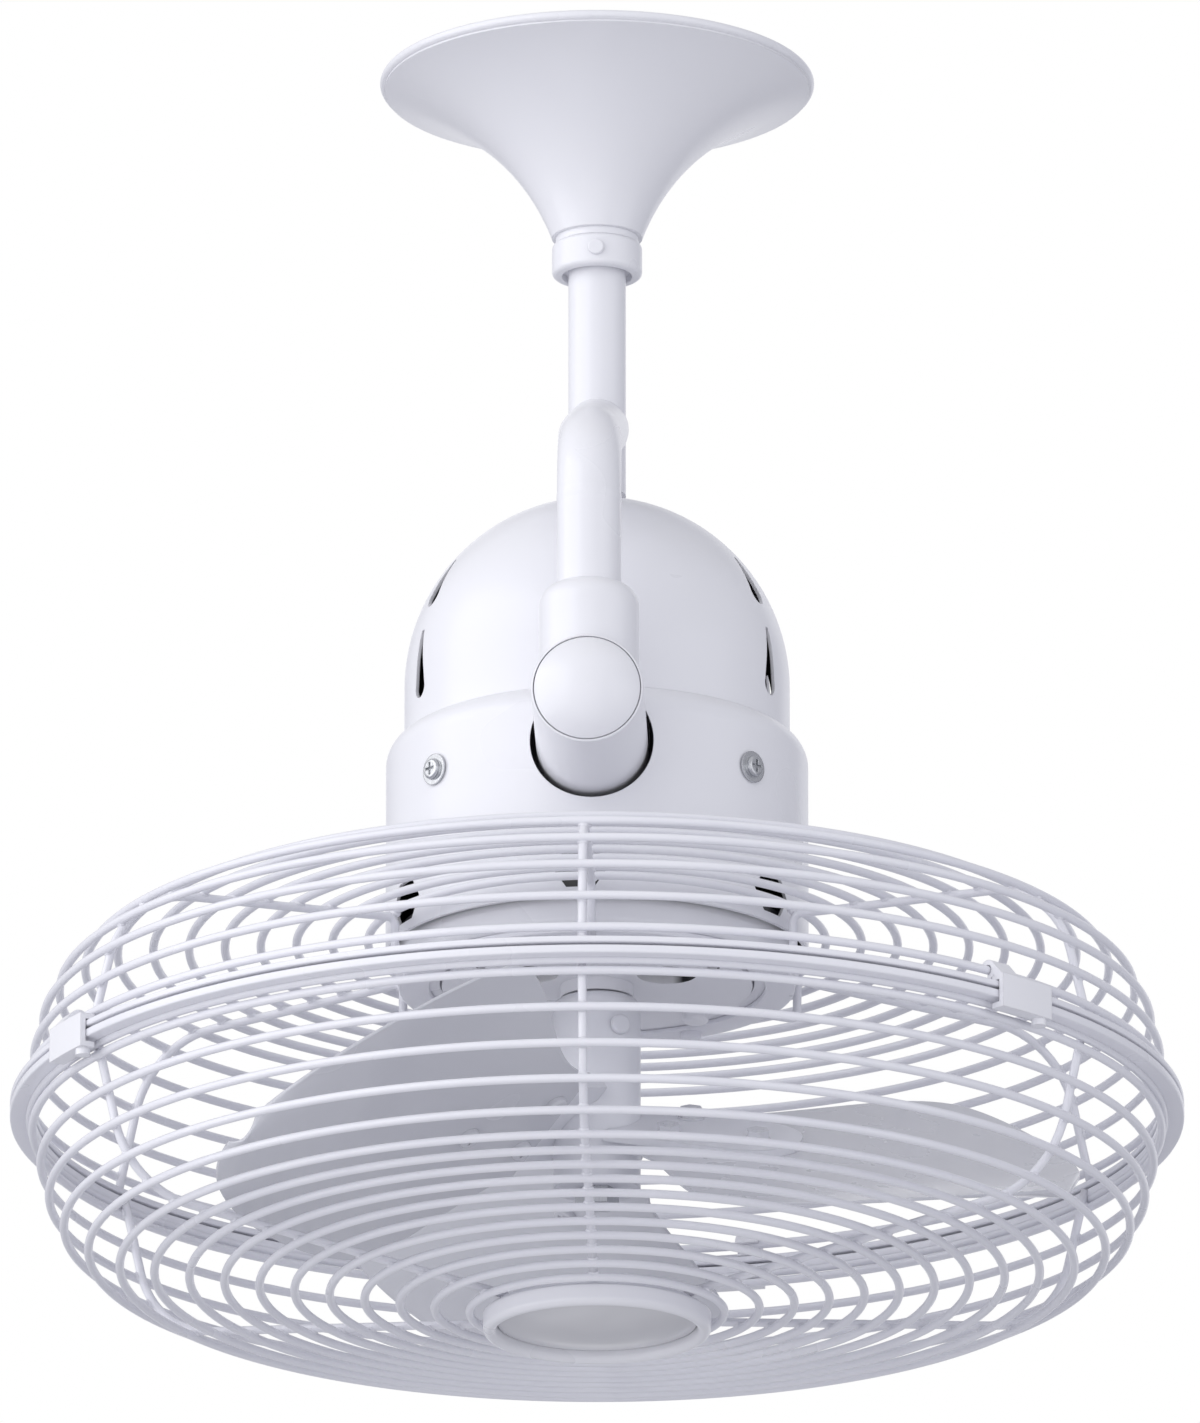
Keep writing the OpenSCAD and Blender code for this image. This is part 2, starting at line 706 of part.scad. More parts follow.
// Ring that holds the canopy up on the rod
module canopy_collar() {
    color(paint) difference() {
        translate([0, 0, collar_top_z - collar_h]) rotate_extrude() {
            translate([collar_round, 0]) square([collar_d / 2 - 2 * collar_round, collar_h]);
            translate([0, collar_round]) square([collar_d / 2, collar_h - 2 * collar_round]);
            translate([0, 0]) square([collar_d / 2 - collar_round, collar_h]);
            for (z = [collar_round, collar_h - collar_round]) {
                translate([collar_d / 2 - collar_round, z]) circle(r = collar_round);
            }
        }
        translate([0, 0, collar_top_z - collar_h - 1]) cylinder(r = rod_d / 2 + run_fit, h = collar_h + 2);
        translate([0, 0, collar_top_z - collar_h - 1])
            cylinder(r = rod_d / 2 + 2.2, h = collar_h - collar_land - 4);
        translate([0, 0, collar_screw_z]) rotate([90, 0, 0])
            cylinder(d = collar_screw_d + 2 * seat_fit, h = collar_d);
    }
}

// Round-headed screw that clamps the collar to the rod
module collar_screw() {
    shank_l = collar_d / 2 - rod_d / 2 - run_fit;
    color(steel) translate([0, -collar_d / 2, collar_screw_z]) rotate([-90, 0, 0])
        pan_screw(collar_screw_d, shank_l, 5.6, 1.4);
}

// Vent slot: round below, narrowing upwards, cut outwards along +X
module vent_cut(z0, z1) {
    translate([dome_r - 45, 0, z0 + vent_w / 2]) rotate([90, 0, 90]) linear_extrude(60) {
        circle(d = vent_w);
        polygon([[-vent_w / 2, 0], [vent_w / 2, 0], [1, z1 - z0 - vent_w / 2], [-1, z1 - z0 - vent_w / 2]]);
    }
}

// Hole through the housing round the barrel
module barrel_cut() {
    along_y(-band_r - 5) cylinder(r = barrel_r + barrel_gap, h = band_r - 20);
}

// Domed rear shell of the housing
module rear_dome() {
    inner_r = dome_r - sheet_t;
    color(paint) difference() {
        union() {
            translate([0, 0, dome_z]) difference() {
                sphere(r = dome_r, $fn = 96);
                sphere(r = inner_r, $fn = 96);
                translate([-dome_r, -dome_r, -2 * dome_r]) cube([2 * dome_r, 2 * dome_r, 2 * dome_r]);
            }
            flat_ring(inner_r, dome_r, dome_flange_z, dome_z);
            flat_ring(inner_r, tab_r, dome_flange_z, dome_flange_z + sheet_t);
        }
        barrel_cut();
        for (a = vent_azimuths) {
            at_azimuth(a) {
                vent_cut(dome_z - 11.5, dome_z + 13);
                vent_cut(dome_z + 22, dome_z + 40);
            }
        }
    }
}

// Hexagonal opening cut outwards along +X
module hex_cut() {
    translate([band_r - 10, 0, hex_z]) rotate([90, 0, 90]) linear_extrude(20)
        polygon([
            [-hex_w / 2, 0], [-hex_w / 4, -hex_h / 2], [hex_w / 4, -hex_h / 2],
            [hex_w / 2, 0], [hex_w / 4, hex_h / 2], [-hex_w / 4, hex_h / 2]]);
}

// Cylindrical band with a rounded shoulder round the motor
module front_band() {
    color(paint) difference() {
        rotate_extrude() difference() {
            round_edge_section(band_r, band_top_z, band_bottom_z, shoulder_r);
            round_edge_section(
                band_r - sheet_t, band_top_z - sheet_t, band_bottom_z - 1, shoulder_r - sheet_t);
            translate([0, band_bottom_z - 2]) square([dome_r + 0.1, band_top_z - band_bottom_z + 4]);
        }
        barrel_cut();
        for (a = hex_azimuths) {
            at_azimuth(a) hex_cut();
        }
        at_azimuth(hex_azimuths[1]) translate([band_r - 10, 0, hex_z + hex_h / 2 + 3.2])
            rotate([0, 90, 0]) cylinder(d = 3.6, h = 20);
        for (a = screw_azimuths) {
            at_azimuth(a) translate([band_r - 10, 0, housing_screw_z])
                rotate([0, 90, 0]) cylinder(d = housing_screw_d + 2 * run_fit, h = 20);
        }
    }
}

// Washer-headed screws that hold the band and dome to the motor bracket
module housing_screws() {
    color(steel) for (a = screw_azimuths) {
        at_azimuth(a) translate([band_r + 0.2, 0, housing_screw_z]) rotate([0, -90, 0]) {
            difference() {
                union() {
                    pan_screw(housing_screw_d, 7, screw_head_d * 0.66, 2.6);
                    translate([0, 0, -0.8]) cylinder(d = screw_head_d, h = 0.8);
                }
                translate([0, 0, -2.6]) cross_recess(screw_head_d * 0.4, 1);
            }
        }
    }
}

// Cross recess of a screw head, cut from z = 0 inwards
module cross_recess(l, depth) {
    for (a = [0, 90]) {
        rotate([0, 0, a]) translate([-l / 2, -0.45, -1]) cube([l, 0.9, depth + 1]);
    }
}

// Shallow pan that closes the housing round the motor
module housing_pan() {
    color(paint) difference() {
        rotate_extrude() difference() {
            round_edge_section(pan_r, pan_bottom_z, pan_top_z, pan_round);
            round_edge_section(pan_r - pan_wall, pan_bottom_z + pan_floor, pan_top_z + 1, pan_round - 1.2);
            translate([0, pan_bottom_z - 1]) square([shield_r + 0.6, 10]);
        }
        for (a = guard_screw_azimuths) {
            at_azimuth(a) translate([guard_screw_r, 0, pan_bottom_z - 1])
                cylinder(d = guard_screw_d + 2 * run_fit, h = pan_floor + 2);
        }
    }
}

// Plate behind the motor that carries the bearing, the pivot block and the housing
module motor_bracket() {
    color(steel) difference() {
        union() {
            translate([0, 0, bracket_z]) cylinder(r = bracket_r, h = bracket_t);
            translate([0, 0, bracket_z]) cylinder(r = rear_boss_r, h = rear_boss_top_z - bracket_z);
            for (a = screw_azimuths) {
                at_azimuth(a) {
                    translate([bracket_r - 6, -tab_w / 2, bracket_z])
                        cube([tab_r - tab_t - bracket_r + 7, tab_w, bracket_t]);
                    bracket_tab();
                }
            }
            for (a = [45:90:315]) {
                at_azimuth(a) translate([bolt_circle_r, 0, stator_top_z])
                    cylinder(r = stud_r, h = bracket_z - stator_top_z);
            }
        }
        translate([0, 0, bracket_z - 1])
            cylinder(r = bearing_d / 2 + seat_fit, h = rear_bearing_z + bearing_w - bracket_z + 1);
        for (a = [45:90:315]) {
            at_azimuth(a) translate([bolt_circle_r, 0, stator_top_z - 1])
                cylinder(d = bolt_d + 2 * run_fit, h = 20);
        }
        for (x = [-1, 1], y = block_screw_ys()) {
            translate([x * block_screw_x(), y, bracket_z - 1])
                cylinder(d = 4 + 2 * run_fit, h = bracket_t + 2);
        }
        for (a = screw_azimuths) {
            at_azimuth(a) translate([bracket_r, 0, housing_screw_z])
                rotate([0, 90, 0]) cylinder(d = housing_screw_d + 2 * seat_fit, h = 30);
        }
    }
}

// Upright tab of the bracket, curved like the band
module bracket_tab() {
    intersection() {
        flat_ring(tab_r - tab_t, tab_r, bracket_z, dome_flange_z);
        translate([0, -tab_w / 2, bracket_z - 1]) cube([band_r, tab_w, dome_flange_z - bracket_z + 2]);
    }
}

// Places of the pivot block's screws
function block_screw_x() = 19.5;
function block_screw_ys() = [block_y0 + 7.2, block_y1 - 7.2];

// Block on the bracket that turns on the pivot shaft
module pivot_block() {
    half_w = 13.5;
    foot_t = 4;
    color(steel) difference() {
        union() {
            translate([-half_w, block_y0, bracket_top_z])
                cube([2 * half_w, block_l, pivot_z - bracket_top_z]);
            along_y(block_y0) cylinder(r = half_w, h = block_l);
            translate([-24, block_y0 + 3, bracket_top_z]) cube([48, block_l - 6, foot_t]);
        }
        along_y(block_y0 - 1) cylinder(r = pivot_r + bush_wall + seat_fit, h = block_l + 2);
        translate([-half_w, block_y0 - 1, bracket_top_z - 5]) cube([2 * half_w, block_l + 2, 5]);
        for (x = [-1, 1], y = block_screw_ys()) {
            translate([x * block_screw_x(), y, bracket_top_z - 1])
                cylinder(d = 4 + 2 * run_fit, h = foot_t + 2);
        }
    }
}

// Two flanged bronze bushes in the pivot block
module pivot_bushes() {
    color("#B08D57") for (end = [0, 1]) {
        body_y = end == 0 ? block_y0 : block_y1 - bush_l;
        flange_at = end == 0 ? block_y0 - bush_flange_t : block_y1;
        difference() {
            union() {
                along_y(body_y) cylinder(r = pivot_r + bush_wall, h = bush_l);
                along_y(flange_at) cylinder(r = pivot_r + bush_wall + 2.4, h = bush_flange_t);
            }
            along_y(flange_at - bush_l - 1) cylinder(r = pivot_r + run_fit, h = 2 * bush_l + 5);
        }
    }
}

// Screws that hold the pivot block down
module block_screws() {
    color(steel) for (x = [-1, 1], y = block_screw_ys()) {
        translate([x * block_screw_x(), y, bracket_top_z + 4]) rotate([180, 0, 0]) pan_screw(4, 7, 7.4, 2.6);
    }
}

// Laminated stator with holes for the motor bolts
module stator() {
    color(dark) difference() {
        translate([0, 0, stator_z]) cylinder(r = stator_r, h = stator_h);
        translate([0, 0, stator_z - 1]) cylinder(r = rotor_r + air_gap, h = stator_h + 2);
        for (a = [45:90:315]) {
            at_azimuth(a) translate([bolt_circle_r, 0, stator_z - 1])
                cylinder(d = bolt_d + 2 * run_fit, h = stator_h + 2);
        }
    }
}

// End turns of the windings above and below the stator
module windings() {
    inner = rotor_r + 3.4;
    outer = bolt_circle_r - stud_r - 1.5;
    color("#9A5B34") for (end = [0, 1]) {
        z0 = end == 0 ? stator_top_z : stator_z - lower_coil_head;
        h = end == 0 ? coil_head : lower_coil_head;
        translate([0, 0, z0]) rotate_extrude() {
            translate([inner, 0]) square([outer - inner, h]);
        }
    }
}

// Ball bearing of the given place
module ball_bearing(z0) {
    color(steel) flat_ring(shaft_d / 2 + 0.03, bearing_d / 2, z0, z0 + bearing_w);
}

module rear_bearing() {
    ball_bearing(rear_bearing_z);
}

module front_bearing() {
    ball_bearing(front_bearing_z);
}

// Front end shield of the motor, seen from below inside the pan
module motor_shield() {
    color(paint) difference() {
        union() {
            translate([0, 0, shield_z]) cylinder(r = shield_r, h = shield_floor);
            translate([0, 0, shield_flange_z]) cylinder(r = shield_flange_r, h = shield_flange_t);
            translate([0, 0, boss_bottom_z]) cylinder(r = boss_r, h = shield_flange_z - boss_bottom_z);
            for (a = [45:90:315]) {
                at_azimuth(a) translate([bolt_circle_r, 0, shield_flange_z])
                    cylinder(r = stud_r, h = stator_z - shield_flange_z);
            }
        }
        translate([0, 0, front_bearing_z]) cylinder(r = bearing_d / 2 + seat_fit, h = 30);
        translate([0, 0, boss_bottom_z - 1]) cylinder(r = shaft_d / 2 + 1.5, h = 30);
        for (a = [62:120:302]) {
            at_azimuth(a) {
                translate([27.5, 0, shield_z - 1]) cylinder(r = 10.2, h = 10);
                translate([46, 0, shield_z - 1]) cylinder(d = 4.5, h = 10);
            }
        }
        for (a = [45:90:315]) {
            at_azimuth(a) translate([bolt_circle_r, 0, shield_z - 1])
                cylinder(d = bolt_d + 2 * run_fit, h = 60);
        }
        for (a = guard_screw_azimuths) {
            at_azimuth(a) translate([guard_screw_r, 0, shield_flange_z - 1])
                cylinder(d = guard_screw_d + 2 * seat_fit, h = shield_flange_t + 2);
        }
    }
}

// Bolts through shield, stator and bracket
module motor_bolts() {
    bolt_l = bracket_top_z + motor_nut_h + 1 - shield_z;
    color(steel) for (a = [45:90:315]) {
        at_azimuth(a) translate([bolt_circle_r, 0, shield_z])
            pan_screw(bolt_d, bolt_l, bolt_head_d, bolt_head_h);
    }
}

// Nuts of the motor bolts on the bracket
module motor_nuts() {
    color(steel) for (a = [45:90:315]) {
        at_azimuth(a) translate([bolt_circle_r, 0, bracket_top_z]) difference() {
            hex_prism(8, motor_nut_h);
            translate([0, 0, -1]) cylinder(d = bolt_d + 2 * seat_fit, h = motor_nut_h + 2);
        }
    }
}

// Upright plate on the bracket that carries the swing gear motor
module gearmotor_plate() {
    top_z = crank_z + gear_ear_r + 14;
    foot_d = 12;
    arch_r = rear_boss_r + 1;
    color(steel) difference() {
        union() {
            translate([-gear_plate_w / 2, gear_plate_y0, bracket_top_z])
                cube([gear_plate_w, gear_plate_t, top_z - bracket_top_z]);
            translate([-gear_plate_w / 2, gear_plate_y0, bracket_top_z])
                cube([gear_plate_w, foot_d, gear_plate_t]);
        }
        translate([0, 0, bracket_top_z - 1]) cylinder(r = arch_r, h = rear_boss_top_z - bracket_top_z + 2);
        translate([0, gear_plate_y0 - 1, crank_z]) rotate([-90, 0, 0])
            cylinder(r = gear_boss_r + 0.2, h = gear_plate_t + 2);
        for (x = [-1, 1]) {
            translate([x * gear_ear_x, gear_plate_y0 - 1, crank_z]) rotate([-90, 0, 0])
                cylinder(d = 3 + 2 * run_fit, h = gear_plate_t + 2);
        }
    }
}

// Small gear motor that turns the crank
module gearmotor() {
    body_y = gear_plate_y0 + gear_plate_t;
    color(dark) translate([0, body_y, crank_z]) rotate([-90, 0, 0]) difference() {
        union() {
            cylinder(r = gearmotor_r, h = gearmotor_l);
            translate([0, 0, -gear_plate_t - 0.5]) cylinder(r = gear_boss_r, h = gear_plate_t + 1);
            for (x = [-1, 1]) {
                translate([x * gear_ear_x, 0, 0]) cylinder(r = gear_ear_r, h = 1.5);
            }
            translate([-gear_ear_x, -gear_ear_r, 0]) cube([2 * gear_ear_x, 2 * gear_ear_r, 1.5]);
        }
        translate([0, 0, -gear_plate_t - 1]) cylinder(r = gear_shaft_r + run_fit, h = gear_plate_t + 9);
        for (x = [-1, 1]) {
            translate([x * gear_ear_x, 0, -1]) cylinder(d = 3 + 2 * run_fit, h = 4);
        }
    }
}

// Screws that hold the gear motor by its ears
module gearmotor_screws() {
    color(steel) for (x = [-1, 1]) {
        translate([x * gear_ear_x, gear_plate_y0 + gear_plate_t + 1.5, crank_z]) rotate([90, 0, 0])
            pan_screw(3, 4, 6, 2);
    }
}

// Crank disc with its pin and the output shaft
module crank() {
    color(steel) {
        translate([0, crank_y0, crank_z]) rotate([-90, 0, 0]) {
            cylinder(r = crank_disc_r, h = crank_t);
            cylinder(r = gear_shaft_r, h = crank_t + 8);
        }
        translate([0, lever_plate_y, crank_z + crank_r]) rotate([-90, 0, 0])
            cylinder(d = crank_pin_d, h = crank_y0 - lever_plate_y);
    }
}

// Run capacitor on the bracket behind the gear motor
module capacitor() {
    color(dark) translate([-19, 22, bracket_top_z]) cube([38, 24, 20]);
}

// Terminal block beside the gear motor
module terminal_block() {
    color("white") translate([-48, 0, bracket_top_z]) difference() {
        cube([12, 26, 13]);
        for (y = [4.5, 13, 21.5]) {
            translate([6, y, 5]) cylinder(d = 4, h = 10);
        }
    }
}

// One guard wire ring at a height over the rim plane
module wire_ring(r, z) {
    translate([0, 0, z]) rotate_extrude() translate([r, 0]) circle(d = wire_d);
}

// Rings of a guard from its first ring inwards
module guard_rings(r0, slope, count, pitch) {
    for (i = [0:count - 1]) {
        wire_ring(ring_r(r0, slope, first_ring + i * pitch), ring_z(r0, slope, first_ring + i * pitch));
    }
}

// One rib inside the rings, drawn in the XZ plane; it starts in the rim
module guard_rib(r0, slope, crown_l) {
    start = 1.6;
    bend = 90 - side_lean - slope;
    inner_bend = guard_bend_r - rib_offset;
    translate([
        r0 - start * sin(side_lean) - rib_offset * cos(side_lean), 0,
        start * cos(side_lean) - rib_offset * sin(side_lean)])
        rotate([0, -side_lean, 0]) {
            cylinder(d = wire_d, h = side_l - start);
            translate([0, 0, side_l - start - 1]) cylinder(d = wire_d + bead, h = 2);
        }
    translate([bend_r(r0), 0, bend_z()]) rotate([0, -side_lean, 0]) rotate([90, 0, 0])
        rotate_extrude(angle = bend) translate([inner_bend, 0]) circle(d = wire_d);
    translate([
        crown_start_r(r0, slope) - rib_offset * sin(slope), 0,
        crown_start_z(slope) - rib_offset * cos(slope)])
        rotate([0, slope - 90, 0]) {
            cylinder(d = wire_d, h = crown_l);
            translate([0, 0, -1]) cylinder(d = wire_d + bead, h = 2);
        }
}

// Rear guard: rings, ribs, rim and the flat ring that is screwed under the pan
module rear_guard() {
    end_r = rear_inner_r - rib_offset * sin(rear_slope);
    end_z = crown_z(rear_path_r, rear_slope, rear_crown_l) - rib_offset * cos(rear_slope);
    foot_z = mount_ring_top - wire_d / 2 - 0.1;
    color(paint) translate([0, 0, rim_z]) difference() {
        union() {
            guard_rings(rear_path_r, rear_slope, rear_rings, rear_pitch);
            flat_ring(rim_r - rim_w, rim_r, seam / 2, seam / 2 + rear_rim_h);
            flat_ring(mount_ring_in, mount_ring_out, mount_ring_top - mount_ring_t, mount_ring_top);
            for (i = [0:rib_count - 1]) {
                at_azimuth(360 / rib_count * i) {
                    guard_rib(rear_path_r, rear_slope, rear_crown_l);
                    translate([end_r, 0, end_z]) sphere(d = wire_d + bead);
                    translate([end_r, 0, foot_z]) cylinder(d = wire_d, h = end_z - foot_z);
                    translate([end_r, 0, foot_z]) sphere(d = wire_d + bead);
                    translate([mount_ring_out - 3, 0, foot_z]) rotate([0, 90, 0])
                        cylinder(d = wire_d, h = end_r - mount_ring_out + 3);
                }
            }
        }
        for (a = guard_screw_azimuths) {
            at_azimuth(a) translate([guard_screw_r, 0, mount_ring_top - 10])
                cylinder(d = guard_screw_d + 2 * run_fit, h = 12);
        }
    }
}

// Screws that hold the rear guard under the pan
module guard_screws() {
    color(steel) for (a = guard_screw_azimuths) {
        at_azimuth(a) translate([guard_screw_r, 0, pan_bottom_z - mount_ring_t])
            pan_screw(guard_screw_d, mount_ring_t + pan_floor + shield_flange_t + 0.5, 7.4, 2.4);
    }
}

// Front guard: rings, ribs, rim and the small plate that carries the badge
module front_guard() {
    color(paint) translate([0, 0, rim_z]) mirror([0, 0, 1]) difference() {
        union() {
            guard_rings(front_path_r, front_slope, front_rings, front_pitch);
            wire_ring(front_path_r - 0.9, front_rim_h + 0.9);
            flat_ring(rim_r - rim_w, rim_r, seam / 2, seam / 2 + front_rim_h);
            for (i = [0:rib_count - 1]) {
                at_azimuth(360 / rib_count * i) guard_rib(front_path_r, front_slope, front_crown_l + 8);
            }
            translate([0, 0, badge_plate_z]) cylinder(r = badge_plate_r, h = badge_plate_t);
        }
        for (x = [-1, 1]) {
            translate([x * badge_screw_x, 0, badge_plate_z - 5])
                cylinder(d = badge_screw_d + 2 * run_fit, h = 10);
        }
    }
}

// Raised ring round the badge
module badge_ring() {
    z0 = badge_plate_z + badge_plate_t;
    color(paint) translate([0, 0, rim_z]) mirror([0, 0, 1]) translate([0, 0, z0]) rotate_extrude() {
        round_r = badge_ring_w / 2;
        translate([badge_r - badge_ring_w, 0]) square([badge_ring_w, badge_ring_h - round_r]);
        translate([badge_r - round_r, badge_ring_h - round_r]) circle(r = round_r);
    }
}

// Plain domed disc inside the badge ring
module badge() {
    z0 = badge_plate_z + badge_plate_t;
    color("#C9CACE") translate([0, 0, rim_z]) mirror([0, 0, 1]) translate([0, 0, z0]) difference() {
        union() {
            cylinder(r = badge_disc_r, h = badge_disc_t);
            translate([0, 0, badge_disc_t]) dome_cap(badge_disc_r, badge_bulge);
        }
        for (x = [-1, 1]) {
            translate([x * badge_screw_x, 0, -1]) cylinder(d = badge_screw_d + 2 * seat_fit, h = 4.2);
        }
    }
}

// Screws that hold the badge from inside the guard
module badge_screws() {
    color(steel) for (x = [-1, 1]) {
        translate([x * badge_screw_x, 0, rim_z - badge_plate_z]) rotate([180, 0, 0])
            pan_screw(badge_screw_d, badge_plate_t + 3, 6, 2);
    }
}

// Shaft through the motor down to the blade hub
module motor_shaft() {
    color(steel) translate([0, 0, shaft_end_z]) cylinder(d = shaft_d, h = shaft_top_z - shaft_end_z);
}

// Rotor core on the shaft
module rotor() {
    overhang = 1;
    color(steel) flat_ring(shaft_d / 2 + seat_fit, rotor_r, stator_z - overhang, stator_top_z + overhang);
}

// Places children in the plane of one blade's root: +X out, +Z off its upper face
module blade_frame(a) {
    at_azimuth(a) translate([0, 0, arm_plate_z]) rotate([0, blade_droop, 0]) rotate([root_pitch, 0, 0])
        children();
}

// Hub with three pitched arms that carry the blades
module blade_hub() {
    color(paint) difference() {
        union() {
            rotate_extrude() round_edge_section(hub_r, hub_top_z, hub_z, hub_round);
            for (a = blade_angles) {
                blade_frame(a) linear_extrude(arm_plate_t) difference() {
                    union() {
                        translate([hub_r - 6, -arm_plate_w / 2])
                            square([arm_plate_l - arm_plate_w / 2 - hub_r + 6, arm_plate_w]);
                        translate([arm_plate_l - arm_plate_w / 2, 0]) circle(d = arm_plate_w);
                    }
                    for (p = blade_screws_uv) {
                        translate(p) circle(d = blade_screw_d + 2 * run_fit);
                    }
                }
            }
        }
        translate([0, 0, hub_z - 1]) cylinder(r = shaft_d / 2 + seat_fit, h = hub_l + 2);
        at_azimuth(hub_screw_azimuth) translate([0, 0, hub_screw_z]) rotate([0, 90, 0])
            cylinder(d = hub_screw_d + 2 * seat_fit, h = hub_r + 2);
    }
}

// Round-headed screw that clamps the hub to the shaft
module hub_screw() {
    color(steel) at_azimuth(hub_screw_azimuth) translate([hub_r + 0.1, 0, hub_screw_z]) rotate([0, -90, 0])
        pan_screw(hub_screw_d, hub_r - shaft_d / 2, 7, 2);
}

// Flat root of a blade with its screw holes
module blade_root_plate() {
    us = [for (i = [0:root_steps]) blade_root + (flat_root_end - blade_root) * i / root_steps];
    translate([0, 0, -blade_t]) linear_extrude(blade_t) difference() {
        polygon(concat(
            [for (u = us) [u, -trail_at(u)]],
            [for (i = [root_steps:-1:0]) [us[i], lead_at(us[i])]]));
        for (p = blade_screws_uv) {
            translate(p) circle(d = blade_screw_d + 2 * run_fit);
        }
        circle(r = hub_r + 8);
    }
}

// Twisted outer part of a blade, a sheet swept from the flat root to the tip
module blade_sheet() {
    cols = chord_steps + 1;
    upper = [for (i = [0:blade_steps], j = [0:chord_steps])
        let (u = flat_root_end + (blade_tip - flat_root_end) * (1 - pow(1 - i / blade_steps, 1.7)),
            v = (lead_at(u) + trail_at(u)) * j / chord_steps - trail_at(u))
        [u, v, sheet_w(u, v)]];
    lower = [for (p = upper) [p[0], p[1], p[2] - blade_t]];
    half = len(upper);
    quads = [for (i = [0:blade_steps - 1], j = [0:chord_steps - 1]) i * cols + j];
    top_faces = [for (q = quads, k = [0, 1])
        k == 0 ? [q, q + 1, q + cols] : [q + 1, q + cols + 1, q + cols]];
    bottom_faces = [for (f = top_faces) [f[0] + half, f[2] + half, f[1] + half]];
    border = concat(
        [for (j = [0:chord_steps - 1]) [j, j + 1]],
        [for (i = [0:blade_steps - 1]) [(i + 1) * cols - 1, (i + 2) * cols - 1]],
        [for (j = [chord_steps:-1:1]) [blade_steps * cols + j, blade_steps * cols + j - 1]],
        [for (i = [blade_steps:-1:1]) [i * cols, (i - 1) * cols]]);
    side_faces = [for (e = border, k = [0, 1])
        k == 0 ? [e[0], e[0] + half, e[1]] : [e[1], e[0] + half, e[1] + half]];
    polyhedron(points = concat(upper, lower), faces = concat(top_faces, bottom_faces, side_faces));
}

// One blade at its azimuth
module blade(a) {
    color(paint) blade_frame(a) {
        blade_root_plate();
        blade_sheet();
    }
}

module blade_1() {
    blade(blade_angles[0]);
}

module blade_2() {
    blade(blade_angles[1]);
}

module blade_3() {
    blade(blade_angles[2]);
}

// Screws through the blades into the hub's arms, heads below
module blade_screws() {
    color(steel) for (a = blade_angles, p = blade_screws_uv) {
        blade_frame(a) translate([p[0], p[1], -blade_t]) difference() {
            pan_screw(blade_screw_d, blade_t + arm_plate_t + 4, 8, 2.4);
            translate([0, 0, -2.4]) cross_recess(4, 1);
        }
    }
}

// Nuts with washers on the arms' upper face
module blade_nuts() {
    color(steel) for (a = blade_angles, p = blade_screws_uv) {
        blade_frame(a) translate([p[0], p[1], arm_plate_t]) difference() {
            union() {
                cylinder(d = 9, h = 0.8);
                translate([0, 0, 0.8]) hex_prism(7, 3);
            }
            translate([0, 0, -1]) cylinder(d = blade_screw_d + 2 * seat_fit, h = 6);
        }
    }
}

// Nut on the shaft's end under the hub
module hub_nut() {
    color(steel) translate([0, 0, hub_z - hub_nut_h]) difference() {
        hex_prism(hub_nut_af, hub_nut_h);
        translate([0, 0, 1]) cylinder(r = shaft_d / 2 + seat_fit, h = hub_nut_h + 1);
    }
}

// Section of a clip round both rims, in radius and height
module clip_section() {
    translate([clip_in_r, clip_bottom - clip_wall])
        square([clip_wall, clip_top - clip_bottom + 2 * clip_wall]);
    translate([clip_lip_r, clip_top]) square([clip_in_r - clip_lip_r + 0.5, clip_wall]);
    translate([clip_lip_r, clip_bottom - clip_wall]) square([clip_in_r - clip_lip_r + 0.5, clip_wall]);
}

// Section of the hook that turns on the rear guard's first wire
module hook_section() {
    difference() {
        union() {
            translate([hook_wire_r, hook_wire_z]) circle(r = hook_out_r);
            polygon([
                [clip_out_r - 0.4, clip_top], [clip_out_r - 0.4, clip_top + clip_wall - 0.2],
                [hook_wire_r + hook_out_r * 0.8, hook_wire_z + hook_out_r * 0.6],
                [hook_wire_r + hook_out_r * 0.8, hook_wire_z - hook_out_r * 0.6],
                [clip_in_r - 1, clip_top]]);
        }
        translate([hook_wire_r, hook_wire_z]) circle(r = hook_in_r);
        translate([hook_wire_r - 10, hook_wire_z - hook_in_r * 0.9 - 6]) square([10, 6 + hook_in_r * 0.9]);
    }
}

// One clip, drawn towards +X round the middle of its length
module clip(a) {
    span = clip_l / clip_out_r * 180 / PI;
    hook_span = hook_w / clip_out_r * 180 / PI;
    color(paint) translate([0, 0, rim_z]) at_azimuth(a) {
        rotate([0, 0, -span / 2]) rotate_extrude(angle = span) clip_section();
        rotate([0, 0, (hook_span - span) / 2]) translate([0, hook_w / 2, 0]) rotate([90, 0, 0])
            linear_extrude(hook_w) hook_section();
        rotate([0, 0, span / 2 - 1]) {
            translate([clip_lip_r + 2.6, 0, clip_bottom - clip_wall]) cylinder(d = peg_d, h = clip_wall);
            translate([clip_lip_r + 2.6, 0, clip_bottom - clip_wall - 2.4]) cylinder(d = peg_d, h = 2.4);
        }
    }
}

module clip_1() {
    clip(clip_azimuths[0]);
}

module clip_2() {
    clip(clip_azimuths[1]);
}

module clip_3() {
    clip(clip_azimuths[2]);
}

